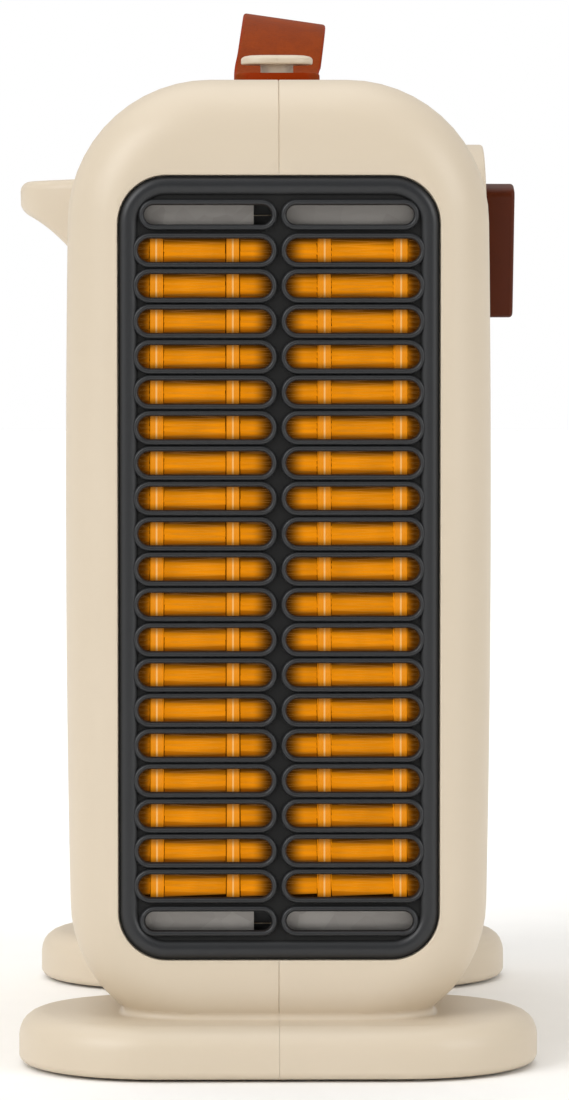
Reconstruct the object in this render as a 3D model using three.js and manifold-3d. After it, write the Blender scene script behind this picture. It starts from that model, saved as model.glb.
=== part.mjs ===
// A ceramic space heater: two moulded half shells that carry their own feet and strap posts, a
// slotted grille over a ceramic heating element, a cross-flow blower behind it, a rotary
// thermostat on the right side and a leather carrying strap on top.
// Millimetres. X is to the right, Y is from the hot-air grille towards the intake, Z is up.

import * as THREE from 'three'
import { mergeVertices } from 'three/addons/utils/BufferGeometryUtils.js'
import Module from 'manifold-3d'

// ---------------------------------------------------------------- driving dimensions

const wall = 2.6 // moulded walls of the shells
const clearance = 0.3 // between pieces that touch on the real heater

const body = {
  bottom: 10,
  top: 293,
  depth: 246,
  edgeFillet: 17, // round between the faces and the sides
  topCorner: 42,
  bottomCorner: 40,
  topHalfWidth: 62.2, // where the sides meet the top corners
  bottomHalfWidth: 61.8,
  barrelHalfWidth: 63.8, // control point of the slightly bowed sides
  barrelHeight: 150
}

const foot = { length: 155, radius: 41.5, bottom: 0.8, top: 16, topFillet: 7, bottomFillet: 2.5, y: 96.7 }
const pad = { radius: 6, height: 1.9, x: 55 }

const grille = {
  width: 94,
  thickness: 2.7,
  corner: 14,
  lipWidth: 3, // how far the shell's lip reaches in behind the plate
  proud: 0.6,
  slotHeight: 6.8,
  slotWidth: 39,
  slotPitch: 10.37,
  webWidth: 4.4
}
const outlet = { height: 230, z: 149.4, rows: 21 }
const intake = { height: 204, z: 162, rows: 18 }

const spout = { rootX: -56, tipX: -80.2, topZ: 264.6, tipBottomZ: 255.2, rootBottomZ: 238.5, halfWidth: 22 }
const boss = { y: 0, z: 243, radius: 33.4, faceX: 65.3 }
const gland = { z: 42, neckRadius: 5.9, flangeRadius: 8.5, boreRadius: 3.6 }
const grip = { length: 42.2, width: 10, height: 9.5, turn: THREE.MathUtils.degToRad(16) }

const strap = { width: 26, thickness: 3.4, postY: 55, postRadius: 5, endY: 62, riseY: 44 }
const button = { bottom: 299.3, top: 302.2, length: 21.8, width: 15 }
const strapPivotZ = body.top + clearance + strap.thickness / 2
const strapLean = THREE.MathUtils.degToRad(8.2)

const element = { bottom: 50.8, top: 248, front: -114, back: -101, halfWidth: 46.4 }
const elementFrame = { bottom: 37, top: 262.4, front: -117.6, back: -98, halfWidth: 48, sheet: 1 }
const bar = { width: 3.8, x: [-36, -13.5, 13.5, 36] }
const terminalX = [-30, 30]

const blower = { x: -6, y: 30, radius: 30, bottom: 60, top: 254, sheet: 1.2, blades: 20 }
const duct = { floor: 38, raisedFloor: 57, ceiling: 261.8 }
const shaftRadius = 2
const stack = { bottom: 30, top: 46, boreRadius: 12.6 }

// Screws that pull the half shells together: their places on the seam plane.
const shellScrews = [
  { y: -84, z: 276 },
  { y: 84, z: 276 },
  { y: -84, z: 24 },
  { y: 98, z: 24 }
]

// ---------------------------------------------------------------- finishes

function finish(color, roughness, metalness = 0) {
  return new THREE.MeshStandardMaterial({ color, roughness, metalness })
}

const creamPlastic = finish(0xe8dfcd, 0.45)
const blackPlastic = finish(0x2c2d31, 0.4)
const brownPlastic = finish(0x5a2a17, 0.45)
const tanLeather = finish(0x9c4a26, 0.65)
const galvanised = finish(0x8c8a86, 0.45, 0.9)
const aluminium = finish(0xb8bcc0, 0.35, 0.9)
const glowingFin = finish(0xde8a0c, 0.5, 0.6)
const steel = finish(0x9a9da1, 0.35, 1)
const copper = finish(0xa5562b, 0.4, 0.8)
const brass = finish(0xc7a14d, 0.35, 0.9)
const rubber = finish(0x1d1d1f, 0.85)
const nylonMesh = finish(0x3a3b3d, 0.8)
const whiteInsulation = finish(0xd8d6cf, 0.6)

// ---------------------------------------------------------------- shapes and solids

const wasm = await Module()
wasm.setup()

/** A closed geometry as a solid that can be joined and cut. */
function solid(geometry) {
  const bare = geometry.clone()
  bare.deleteAttribute('normal')
  bare.deleteAttribute('uv')
  const merged = mergeVertices(bare, 1e-4)
  const corners = merged.index.array
  const triangles = []
  for (let i = 0; i < corners.length; i += 3) {
    const [a, b, c] = corners.subarray(i, i + 3)
    if (a !== b && b !== c && c !== a) triangles.push(a, b, c)
  }
  return new wasm.Manifold(
    new wasm.Mesh({
      numProp: 3,
      vertProperties: Float32Array.from(merged.attributes.position.array),
      triVerts: Uint32Array.from(triangles)
    })
  )
}

function geometryOf(manifold) {
  const mesh = manifold.getMesh()
  const geometry = new THREE.BufferGeometry()
  geometry.setAttribute('position', new THREE.BufferAttribute(mesh.vertProperties, mesh.numProp))
  geometry.setIndex(new THREE.BufferAttribute(mesh.triVerts, 1))
  geometry.computeVertexNormals()
  return geometry
}

function joined(solids) {
  return solids.reduce((whole, piece) => whole.add(piece))
}

function cut(whole, tools) {
  return tools.reduce((left, tool) => left.subtract(tool), whole)
}

function polygon(points) {
  return new THREE.Shape(points.map(([x, y]) => new THREE.Vector2(x, y)))
}

/** A shape drawn on (X, Y), raised along Z. */
function alongZ(shape, from, to, curveSegments = 6) {
  const geometry = new THREE.ExtrudeGeometry(shape, { depth: to - from, bevelEnabled: false, curveSegments })
  return solid(geometry.translate(0, 0, from))
}

/** A shape drawn on (X, Z), drawn out along Y. */
function alongY(shape, from, to, curveSegments = 6) {
  const geometry = new THREE.ExtrudeGeometry(shape, { depth: to - from, bevelEnabled: false, curveSegments })
  return solid(geometry.rotateX(Math.PI / 2).translate(0, to, 0))
}

/** A shape drawn on (Y, Z), drawn out along X. */
function alongX(shape, from, to, curveSegments = 6) {
  const geometry = new THREE.ExtrudeGeometry(shape, { depth: to - from, bevelEnabled: false, curveSegments })
  const turn = new THREE.Matrix4().set(0, 0, 1, from, 1, 0, 0, 0, 0, 1, 0, 0, 0, 0, 0, 1)
  return solid(geometry.applyMatrix4(turn))
}

function box(x0, x1, y0, y1, z0, z1) {
  const geometry = new THREE.BoxGeometry(x1 - x0, y1 - y0, z1 - z0)
  return solid(geometry.translate((x0 + x1) / 2, (y0 + y1) / 2, (z0 + z1) / 2))
}

/** A turned piece on an axis parallel to X, Y or Z; its profile is a list of [radius, place]. */
function turned(axis, profile, [u, v], segments = 12) {
  const geometry = new THREE.LatheGeometry(
    profile.map(([radius, place]) => new THREE.Vector2(radius, place)),
    segments
  )
  if (axis === 'x') geometry.rotateZ(-Math.PI / 2).translate(0, u, v)
  if (axis === 'y') geometry.translate(u, 0, v)
  if (axis === 'z') geometry.rotateX(Math.PI / 2).translate(u, v, 0)
  return solid(geometry)
}

function rod(axis, radius, from, to, place, segments = 12) {
  return turned(axis, [[0, from], [radius, from], [radius, to], [0, to]], place, segments)
}

function roundedRectangle(width, height, radius, centreY = 0) {
  const [x, y] = [width / 2 - radius, height / 2 - radius]
  const shape = new THREE.Shape()
  shape.absarc(x, centreY - y, radius, -Math.PI / 2, 0)
  shape.absarc(x, centreY + y, radius, 0, Math.PI / 2)
  shape.absarc(-x, centreY + y, radius, Math.PI / 2, Math.PI)
  shape.absarc(-x, centreY - y, radius, Math.PI, Math.PI * 1.5)
  return shape
}

/** A strip of even thickness whose middle follows the points. */
function strip(points, thickness) {
  const normals = points.map((point, i) => {
    const [before, after] = [points[Math.max(i - 1, 0)], points[Math.min(i + 1, points.length - 1)]]
    return new THREE.Vector2(before[1] - after[1], after[0] - before[0]).normalize()
  })
  const side = (sign) =>
    points.map(([x, y], i) => [
      x + (sign * normals[i].x * thickness) / 2,
      y + (sign * normals[i].y * thickness) / 2
    ])
  return polygon([...side(-1), ...side(1).reverse()])
}

/** Points on a circle round the impeller's axis, with the radius running from one value to another. */
function scroll(fromAngle, toAngle, fromRadius, toRadius, steps) {
  const points = []
  for (let i = 0; i <= steps; i++) {
    const angle = THREE.MathUtils.degToRad(THREE.MathUtils.lerp(fromAngle, toAngle, i / steps))
    const radius = THREE.MathUtils.lerp(fromRadius, toRadius, i / steps)
    points.push([blower.x + radius * Math.cos(angle), blower.y + radius * Math.sin(angle)])
  }
  return points
}

const heater = new THREE.Group()

function place(name, shape, material, position = [0, 0, 0]) {
  const mesh = new THREE.Mesh(geometryOf(shape), material)
  mesh.name = name
  mesh.position.set(...position)
  heater.add(mesh)
  return mesh
}

// ---------------------------------------------------------------- half shells

/** The body's front outline, drawn in by the inset. */
function bodyOutline(inset) {
  const [topRadius, bottomRadius] = [body.topCorner - inset, body.bottomCorner - inset]
  const topX = body.topHalfWidth - body.topCorner
  const topZ = body.top - body.topCorner
  const bottomX = body.bottomHalfWidth - body.bottomCorner
  const bottomZ = body.bottom + body.bottomCorner
  const barrelX = body.barrelHalfWidth - inset
  const shape = new THREE.Shape()
  shape.absarc(bottomX, bottomZ, bottomRadius, -Math.PI / 2, 0)
  shape.quadraticCurveTo(barrelX, body.barrelHeight, topX + topRadius, topZ)
  shape.absarc(topX, topZ, topRadius, 0, Math.PI / 2)
  shape.absarc(-topX, topZ, topRadius, Math.PI / 2, Math.PI)
  shape.quadraticCurveTo(-barrelX, body.barrelHeight, -bottomX - bottomRadius, bottomZ)
  shape.absarc(-bottomX, bottomZ, bottomRadius, Math.PI, Math.PI * 1.5)
  return shape
}

function bodySolid(inset) {
  const fillet = body.edgeFillet - inset
  const geometry = new THREE.ExtrudeGeometry(bodyOutline(inset), {
    depth: body.depth - 2 * body.edgeFillet,
    bevelThickness: fillet,
    bevelSize: fillet,
    bevelOffset: -fillet,
    bevelSegments: inset > 0 ? 2 : 4,
    curveSegments: inset > 0 ? 3 : 5
  })
  return solid(geometry.rotateX(Math.PI / 2).translate(0, body.depth / 2 - body.edgeFillet, 0))
}

/** A quarter round from one direction to the next, as [across, up] points. */
function quarter(across, up, radius, fromAngle, steps) {
  const points = []
  for (let i = 0; i <= steps; i++) {
    const angle = fromAngle + ((Math.PI / 2) * i) / steps
    points.push([across + radius * Math.cos(angle), up + radius * Math.sin(angle)])
  }
  return points
}

/** A foot: a bar with round ends, turned at both ends and straight between them. */
function footSolid(y, inset) {
  const [radius, bottom, top] = [foot.radius - inset, foot.bottom + inset, foot.top - inset]
  const [topFillet, bottomFillet] = [foot.topFillet - inset, Math.max(foot.bottomFillet - inset, 0.5)]
  const steps = inset > 0 ? 1 : 3
  const segments = inset > 0 ? 16 : 28
  const edge = [
    ...quarter(radius - bottomFillet, bottom + bottomFillet, bottomFillet, -Math.PI / 2, 1),
    ...quarter(radius - topFillet, top - topFillet, topFillet, 0, steps)
  ]
  const endX = foot.length / 2 - foot.radius
  const section = polygon([
    ...edge.map(([across, up]) => [y + across, up]),
    ...edge.map(([across, up]) => [y - across, up]).reverse()
  ])
  const profile = [[0, bottom], ...edge, [0, top]]
  return joined([
    alongX(section, -endX, endX),
    turned('z', profile, [-endX, y], segments),
    turned('z', profile, [endX, y], segments)
  ])
}

/** The pouring-lip shaped spout on the left side: its side view cut to its plan view. */
function spoutSolid(inset) {
  const [tip, top, bottom] = [spout.tipX + inset, spout.topZ - inset, spout.tipBottomZ + inset]
  const round = 3 - 0.75 * inset
  const side = new THREE.Shape()
  side.moveTo(spout.rootX, top + 0.8)
  side.lineTo(tip + round, top)
  side.quadraticCurveTo(tip, top, tip, top - round)
  side.lineTo(tip, bottom + round / 2)
  side.quadraticCurveTo(tip, bottom, tip + round / 2, bottom)
  side.quadraticCurveTo(-68.5, 251.5 + inset, -60, spout.rootBottomZ + inset)
  side.lineTo(spout.rootX, spout.rootBottomZ + inset)
  const half = spout.halfWidth - inset
  const plan = new THREE.Shape()
  plan.moveTo(spout.rootX, -half)
  plan.lineTo(spout.rootX, half)
  plan.bezierCurveTo(-66, half - 5, tip, half - 5, tip, 0)
  plan.bezierCurveTo(tip, 5 - half, -66, 5 - half, spout.rootX, -half)
  const segments = inset > 0 ? 2 : 4
  return alongY(side, -half, half, segments).intersect(alongZ(plan, spout.rootBottomZ - 5, top + 2, segments))
}

function strapPost(y) {
  const cap = roundedRectangle(button.length, button.width, button.width / 2 - 0.5)
  const capSolid = alongZ(cap, button.bottom, button.top, 2).translate([0, y, 0])
  return rod('z', strap.postRadius, body.top - 1, button.bottom + 0.5, [0, y], 12).add(capSolid)
}

/** Behind each grille the wall is thicker, and carries a recess and a lip for the plate. */
function grilleSeat(opening, face) {
  const inward = -Math.sign(face)
  const span = (near, far) => [Math.min(near, far), Math.max(near, far)]
  const seat = (grow, near, far) =>
    alongY(
      roundedRectangle(grille.width + grow, opening.height + grow, grille.corner + grow / 2, opening.z),
      ...span(face + inward * near, face + inward * far),
      2
    )
  return {
    collar: seat(5, 1.5, 5.1),
    recess: seat(2 * clearance, -1, grille.thickness - grille.proud + clearance),
    hole: seat(-2 * grille.lipWidth, -1, 6)
  }
}

function shellSolid() {
  const outside = joined([
    bodySolid(0),
    footSolid(-foot.y, 0),
    footSolid(foot.y, 0),
    spoutSolid(0),
    turned('x', [[0, 40], [boss.radius, 40], [boss.radius, boss.faceX - 0.8],
      [boss.radius - 0.8, boss.faceX], [0, boss.faceX]], [boss.y, boss.z], 32)
  ])
  const hollow = joined([
    bodySolid(wall),
    footSolid(-foot.y, wall),
    footSolid(foot.y, wall),
    spoutSolid(wall),
    rod('x', boss.radius - wall, 40, boss.faceX - wall, [boss.y, boss.z], 20)
  ])
  const inner = []
  const holes = []
  for (const { y, z } of shellScrews) {
    inner.push(rod('x', 5.5, -63, -clearance, [y, z], 10), rod('x', 4, 0, 63, [y, z], 8))
    holes.push(
      rod('x', 3.9, -70, -12, [y, z]),
      rod('x', 2, -13, 1, [y, z], 8),
      rod('x', 1.5, -1, 16, [y, z], 6)
    )
  }
  for (const side of [-1, 1]) {
    inner.push(
      box(side * 16 - 1, side * 16 + 1, -92, -66, 11, duct.floor - 0.6),
      box(side * 16 - 1, side * 16 + 1, -40, 30, duct.ceiling + 1.5, 292)
    )
    for (const footY of [-foot.y, foot.y]) {
      holes.push(rod('z', pad.radius + 0.4, -1, pad.height + clearance, [side * pad.x, footY]))
    }
    inner.push(rod('x', 3.5, 57.6, 63.5, [side * 21, boss.z], 8))
    holes.push(rod('x', 1.5, 50, 62.2, [side * 21, boss.z], 6))
  }
  const front = grilleSeat(outlet, -body.depth / 2)
  const rear = grilleSeat(intake, body.depth / 2)
  holes.push(front.recess, front.hole, rear.recess, rear.hole)
  holes.push(rod('x', 4.2, 60, 67, [boss.y, boss.z]))
  holes.push(rod('y', gland.neckRadius + clearance, 110, 130, [0, gland.z], 16))
  const ribs = joined(inner).intersect(bodySolid(0.6).add(rod('x', 30, 40, 64, [boss.y, boss.z], 16)))
  const shell = joined([outside.subtract(hollow), front.collar, rear.collar, ribs])
  return cut(shell, holes).add(strapPost(-strap.postY)).add(strapPost(strap.postY))
}

const shell = shellSolid()
const seamHalfGap = 0.15
place('shell_left', shell.intersect(box(-100, -seamHalfGap, -150, 150, -5, 330)), creamPlastic)
place('shell_right', shell.intersect(box(seamHalfGap, 100, -150, 150, -5, 330)), creamPlastic)

shellScrews.forEach(({ y, z }, i) => {
  const profile = [[0, -15.2], [3, -15.2], [3, -12.3], [1.2, -12.3], [1.2, 15], [0, 15]]
  place(`shell_screw_${i + 1}`, turned('x', profile, [y, z]), steel)
})

for (const [end, y] of [['front', -foot.y], ['rear', foot.y]]) {
  for (const [side, x] of [['left', -pad.x], ['right', pad.x]]) {
    place(`foot_pad_${end}_${side}`, rod('z', pad.radius, 0, pad.height, [x, y]), rubber)
  }
}

// ---------------------------------------------------------------- grilles and filter

/** A plate with rows of round-ended slots in the given number of columns. */
function slottedPlate(opening, columns, slotWidth, slotHeight) {
  const plate = roundedRectangle(grille.width, opening.height, grille.corner, opening.z)
  const firstRow = opening.z - ((opening.rows - 1) / 2) * grille.slotPitch
  for (let row = 0; row < opening.rows; row++) {
    for (let column = 0; column < columns; column++) {
      const centreX = (column - (columns - 1) / 2) * (slotWidth + grille.webWidth)
      const z = firstRow + row * grille.slotPitch
      const straight = slotWidth / 2 - slotHeight / 2
      const slot = new THREE.Path()
      slot.absarc(centreX + straight, z, slotHeight / 2, -Math.PI / 2, Math.PI / 2)
      slot.absarc(centreX - straight, z, slotHeight / 2, Math.PI / 2, Math.PI * 1.5)
      plate.holes.push(slot)
    }
  }
  return plate
}

const frontFace = -body.depth / 2 - grille.proud
const outletPlate = slottedPlate(outlet, 2, grille.slotWidth, grille.slotHeight)
place('front_grille', alongY(outletPlate, frontFace, frontFace + grille.thickness, 2), blackPlastic)

const rearFace = body.depth / 2 + grille.proud
const intakePlate = slottedPlate(intake, 1, 78, 4.6)
place('rear_grille', alongY(intakePlate, rearFace - grille.thickness, rearFace, 2), blackPlastic)

const filterSheet = roundedRectangle(92, intake.height - 2, grille.corner, intake.z)
place('intake_filter', alongY(filterSheet, 114.6, 117.4, 2), nylonMesh)

// ---------------------------------------------------------------- heating element

/** The galvanised box round the element, with a folded plate at each end of its front. */
function elementFrameSolid() {
  const { bottom, top, front, back, halfWidth, sheet } = elementFrame
  const frame = box(-halfWidth, halfWidth, front, back, bottom, top).subtract(
    box(-halfWidth + sheet, halfWidth - sheet, front - 1, back + 1, bottom + sheet, top - sheet)
  )
  const plates = []
  for (const [low, high] of [[element.top + 0.6, top - 0.5], [bottom + 0.5, element.bottom - 0.6]]) {
    plates.push(
      box(-halfWidth + 0.5, -7.4, front, front + sheet, low, high),
      box(-2, halfWidth - 0.5, front, front + sheet, low, high)
    )
  }
  const terminalSlots = terminalX.map((x) => box(x - 5, x + 5, -110, -106, top - 2, top + 1))
  return cut(joined([frame, ...plates]), terminalSlots)
}

place('element_frame', elementFrameSolid(), galvanised)

place('element_cap_top', box(-46, 46, -114.5, -100.5, 248.4, 259), blackPlastic)
place('element_cap_bottom', box(-46, 46, -114.5, -100.5, 39.8, 50.4), blackPlastic)

for (const [i, x] of bar.x.entries()) {
  const half = bar.width / 2
  place(
    `ptc_bar_${i + 1}`,
    box(x - half, x + half, element.front, element.back, element.bottom, element.top),
    aluminium
  )
}

/** A folded aluminium ribbon that runs up between two bars. */
function finStrip(left, right, folds) {
  const rise = (element.top - element.bottom - 2) / folds
  const across = 2 // the slanting ribbon measured level
  const middle = []
  for (let i = 0; i <= folds; i++) {
    middle.push([i % 2 ? right - across / 2 : left + across / 2, element.bottom + 1 + i * rise])
  }
  const outline = [
    ...middle.map(([x, z]) => [x + across / 2, z]),
    ...middle.map(([x, z]) => [x - across / 2, z]).reverse()
  ]
  return alongY(polygon(outline), element.front, element.back)
}

const finEdges = [-element.halfWidth, ...bar.x, element.halfWidth]
for (let i = 0; i + 1 < finEdges.length; i++) {
  const left = finEdges[i] + (i > 0 ? bar.width / 2 + clearance : 0)
  const right = finEdges[i + 1] - (i + 2 < finEdges.length ? bar.width / 2 + clearance : 0)
  place(`fin_strip_${i + 1}`, finStrip(left, right, 26), glowingFin)
}

terminalX.forEach((x, i) => {
  place(`element_terminal_${i + 1}`, box(x - 3.15, x + 3.15, -108.4, -107.6, 259.3, 272), brass)
})

// ---------------------------------------------------------------- blower

const leftWall = [
  [-46.5, -97],
  [-48, -50],
  [-48, -5],
  ...scroll(198, 105, 42, 33.5, 8)
]
const rightWall = [[46.5, -97], [39, -60], [24, -12], ...scroll(-50, -10, 34, 37, 3)]
const ductOutline = polygon([
  [-49.5, -97.4],
  [49.5, -97.4],
  [42, -60],
  [31, -5],
  [36, 30],
  [34, 62],
  [-14, 66],
  [-30, 61],
  [-44, 48],
  [-50, 30]
])
const floorLine = [
  [-97.4, duct.floor],
  [-60, duct.floor],
  [-20, duct.raisedFloor],
  [66, duct.raisedFloor]
]
const belowFloor = alongX(polygon([...floorLine.map(([y, z]) => [y, z + 1]), [66, 0], [-97.4, 0]]), -60, 60)

for (const [name, line] of [['blower_wall_left', leftWall], ['blower_wall_right', rightWall]]) {
  const wallSolid = alongZ(strip(line, blower.sheet), duct.floor - 5, duct.ceiling - clearance)
  place(name, wallSolid.subtract(belowFloor), galvanised)
}

const bearing = { radius: 7, boreRadius: 2.3, bottom: 258.5, top: 266 }
const topPlate = alongZ(ductOutline, duct.ceiling, duct.ceiling + blower.sheet)
const bearingHole = rod('z', bearing.radius + clearance, 255, 270, [blower.x, blower.y], 16)
place('blower_plate_top', topPlate.subtract(bearingHole), galvanised)

const bentFloor = alongX(strip(floorLine, blower.sheet), -60, 60)
const floorHoles = [
  rod('z', 4.5, 50, 60, [blower.x, blower.y]),
  rod('z', 1.9, 50, 60, [blower.x - 19.5, blower.y]),
  rod('z', 1.9, 50, 60, [blower.x + 19.5, blower.y])
]
const floorPlate = bentFloor.intersect(alongZ(ductOutline, 20, 80))
place('blower_plate_bottom', cut(floorPlate, floorHoles), galvanised)

place(
  'impeller_bearing',
  turned(
    'z',
    [[bearing.boreRadius, bearing.bottom], [bearing.radius, bearing.bottom],
      [bearing.radius, bearing.top], [bearing.boreRadius, bearing.top],
      [bearing.boreRadius, bearing.bottom]],
    [blower.x, blower.y],
    16
  ),
  rubber
)

/** The cross-flow wheel: curved blades between two end discs and a middle ring, built on its own axis. */
function impellerSolid() {
  const { radius, bottom, top, blades } = blower
  const disc = (low, high) => rod('z', radius, low, high, [0, 0], 20)
  const blade = []
  for (let i = 0; i <= 2; i++) {
    const angle = 0.42 * (i / 2) ** 1.6
    const r = THREE.MathUtils.lerp(radius - 9.5, radius - 0.6, i / 2)
    blade.push([r * Math.cos(angle), r * Math.sin(angle)])
  }
  const bladeSolid = alongZ(strip(blade, 1), bottom + 1, top - 1)
  const pieces = [disc(bottom, bottom + 2), disc(top - 2, top), rod('z', 6, bottom + 1, bottom + 14, [0, 0])]
  const middle = (bottom + top) / 2
  pieces.push(disc(middle - 1, middle + 1).subtract(rod('z', radius - 10, middle - 3, middle + 3, [0, 0], 20)))
  for (let i = 0; i < blades; i++) {
    pieces.push(bladeSolid.rotate([0, 0, (360 * i) / blades]))
  }
  return joined(pieces).subtract(rod('z', shaftRadius + clearance, bottom - 5, top + 5, [0, 0]))
}

place('impeller', impellerSolid(), blackPlastic, [blower.x, blower.y, 0])
place('impeller_shaft', rod('z', shaftRadius, 21, 265, [0, 0]), steel, [blower.x, blower.y, 0])

// ---------------------------------------------------------------- blower motor, built round its own shaft

const legs = { near: 28, far: 43 } // the core's wound leg
const core = polygon([[-26, -17], [26, -17], [26, legs.far], [-26, legs.far]])
const boreHole = new THREE.Path()
boreHole.absarc(0, 0, stack.boreRadius, 0, Math.PI * 2)
const coilWindow = new THREE.Path()
coilWindow.moveTo(-16, 16).lineTo(16, 16).lineTo(16, legs.near).lineTo(-16, legs.near).closePath()
core.holes.push(boreHole, coilWindow)
const motorPlace = [blower.x, blower.y, 0]
const screwHoles = [-19.5, 19.5].map((x) => rod('z', 1.9, 10, 60, [x, 0], 10))
place('motor_stator', cut(alongZ(core, stack.bottom, stack.top, 6), screwHoles), steel, motorPlace)

const windingOuter = roundedRectangle(33, 34, 6, 38)
const windingBore = roundedRectangle(15.8, 16.8, 0.5, 38)
const winding = alongX(windingOuter, -14, 14, 3).subtract(alongX(windingBore, -15, 15, 1))
place('motor_coil', winding.translate([0, (legs.near + legs.far) / 2, 0]), copper, motorPlace)

const rotor = rod('z', 11.8, 28.5, 47.5, [0, 0], 20)
place('motor_rotor', rotor.subtract(rod('z', shaftRadius + clearance, 20, 60, [0, 0])), aluminium, motorPlace)

/** A die-cast bridge over the rotor that carries a bearing. */
function motorBracket(upwards) {
  const level = (height) => (upwards ? stack.top + clearance + height : stack.bottom - clearance - height)
  const bridge = polygon([
    [-23, level(0)],
    [-16, level(0)],
    [-16, level(3.4)],
    [16, level(3.4)],
    [16, level(0)],
    [23, level(0)],
    [23, level(5.6)],
    [-23, level(5.6)]
  ])
  const [low, high] = [Math.min(level(4), level(8.4)), Math.max(level(4), level(8.4))]
  const bracket = alongY(bridge, -6, 6).add(rod('z', 5, low, high, [0, 0]))
  return cut(bracket, [rod('z', shaftRadius + clearance, 10, 70, [0, 0]), ...screwHoles])
}

place('motor_bracket_upper', motorBracket(true), aluminium, motorPlace)
place('motor_bracket_lower', motorBracket(false), aluminium, motorPlace)

for (const [i, x] of [-19.5, 19.5].entries()) {
  const profile = [[0, 21.6], [3, 21.6], [3, 23.8], [1.5, 23.8], [1.5, 59.5], [0, 59.5]]
  place(`motor_screw_${i + 1}`, turned('z', profile, [x, 0], 10), steel, motorPlace)
}

// ---------------------------------------------------------------- thermostat and its grip

const thermostatPlate = cut(
  box(55, 57.3, -25, 25, boss.z - 8, boss.z + 8),
  [-21, 21].map((y) => rod('x', 1.9, 50, 60, [y, boss.z], 10))
)
const thermostatCan = turned(
  'x',
  [[0, 42], [15, 42], [15, 55.5], [5, 55.5], [5, 62.3], [0, 62.3]],
  [boss.y, boss.z],
  20
)
const shaftBore = rod('x', 3.4, 50, 70, [boss.y, boss.z])
place('thermostat', thermostatPlate.add(thermostatCan).subtract(shaftBore), whiteInsulation)

for (const [i, y] of [-21, 21].entries()) {
  const profile = [[0, 52.4], [3, 52.4], [3, 54.6], [1.2, 54.6], [1.2, 61.5], [0, 61.5]]
  place(`thermostat_screw_${i + 1}`, turned('x', profile, [y, boss.z], 10), steel)
}

place('dial_shaft', rod('x', 3, 51, 71.5, [0, 0]), brass, [0, boss.y, boss.z])

const gripBack = boss.faceX + clearance
const gripShape = roundedRectangle(grip.width, grip.length, 2.5)
const gripGeometry = new THREE.ExtrudeGeometry(gripShape, {
  depth: grip.height - 1,
  bevelThickness: 1,
  bevelSize: 1,
  bevelOffset: -1,
  bevelSegments: 2,
  curveSegments: 3
})
const faceRight = new THREE.Matrix4().set(0, 0, 1, gripBack, 1, 0, 0, 0, 0, 1, 0, 0, 0, 0, 0, 1)
const gripBlock = solid(gripGeometry.applyMatrix4(faceRight)).intersect(box(gripBack, 90, -30, 30, -30, 30))
const gripMesh = place(
  'dial_grip',
  gripBlock.subtract(rod('x', 3.3, gripBack - 1, 72, [0, 0])),
  brownPlastic,
  [0, boss.y, boss.z]
)
gripMesh.rotation.x = grip.turn

// ---------------------------------------------------------------- safety devices, mains inlet and leads

const cutoutPlace = [14, -68]
const cutoutTabs = box(4, 24, -71, -65, duct.ceiling + 1.6, duct.ceiling + 2.4)
place(
  'thermal_cutout',
  rod('z', 8, duct.ceiling + 1.6, duct.ceiling + 7.4, cutoutPlace, 16).add(cutoutTabs),
  blackPlastic
)

const fuseProfile = [[0, -26], [0.5, -26], [0.5, -16], [2, -16], [2, -5], [0.5, -5], [0.5, 5], [0, 5]]
place('thermal_fuse', turned('x', fuseProfile, [-102.5, 265.5]), whiteInsulation)

place('terminal_block', box(-57.5, -47.5, 84, 106, 44, 58), whiteInsulation)

const inside = body.depth / 2 - wall - clearance
const outside = body.depth / 2 + clearance
const { boreRadius, flangeRadius, neckRadius } = gland
place(
  'cord_gland',
  turned(
    'y',
    [[boreRadius, inside - 3], [flangeRadius, inside - 3], [flangeRadius, inside], [neckRadius, inside],
      [neckRadius, outside], [flangeRadius, outside], [flangeRadius - 1, outside + 2.4],
      [boreRadius, outside + 2.4], [boreRadius, inside - 3]],
    [0, gland.z],
    16
  ),
  rubber
)

const tipPivot = { x: 43, y: 95, z: 60 }
const tipHousing = box(31, 55, 85, 105, 38, 66).subtract(box(32.5, 53.5, 84, 103.5, 39.5, 64.5))
const tipPinHole = rod('y', 1.3, 80, 107, [tipPivot.x, tipPivot.z])
place('tip_switch_housing', tipHousing.subtract(tipPinHole), blackPlastic)
place('tip_switch_pin', rod('y', 1, 86, 106, [tipPivot.x, tipPivot.z]), steel)

const pendulum = joined([
  rod('y', 3, -3, 3, [0, 0]),
  rod('z', 1.2, -14, -2, [0, 0], 8),
  rod('z', 4.5, -18, -11, [0, 0])
]).subtract(rod('y', 1.3, -5, 5, [0, 0]))
place('tip_pendulum', pendulum, brass, [tipPivot.x, tipPivot.y, tipPivot.z])

const leadPaths = {
  live_lead: [
    [-45.8, 96, 54], [-43, 97, 66], [-45, 97, 90], [-46, 96, 220], [-34, 94, 258], [0, 90, 266],
    [32, 58, 267], [46, 24, 266.5], [48, 3, 260]
  ],
  heater_lead: [[48, -6, 260], [46, -14, 265], [42, -45, 266.8], [36, -90, 266.8], [30, -104.5, 267]],
  neutral_lead: [
    [-53, 82.2, 54], [-54, 76, 62], [-55.2, 68, 90], [-55.2, 62, 235], [-52, 40, 262],
    [-44, 0, 266.8], [-36, -70, 266.8], [-30, -105.5, 268]
  ]
}

const leadSection = new THREE.Shape()
leadSection.absarc(0, 0, 1.2, 0, Math.PI * 2)
for (const [name, points] of Object.entries(leadPaths)) {
  const path = new THREE.CatmullRomCurve3(points.map((point) => new THREE.Vector3(...point)))
  const geometry = new THREE.ExtrudeGeometry(leadSection, {
    steps: Math.round(path.getLength() / 11),
    extrudePath: path,
    curveSegments: 3
  })
  place(name, solid(geometry), whiteInsulation)
}

// ---------------------------------------------------------------- carrying strap

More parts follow.
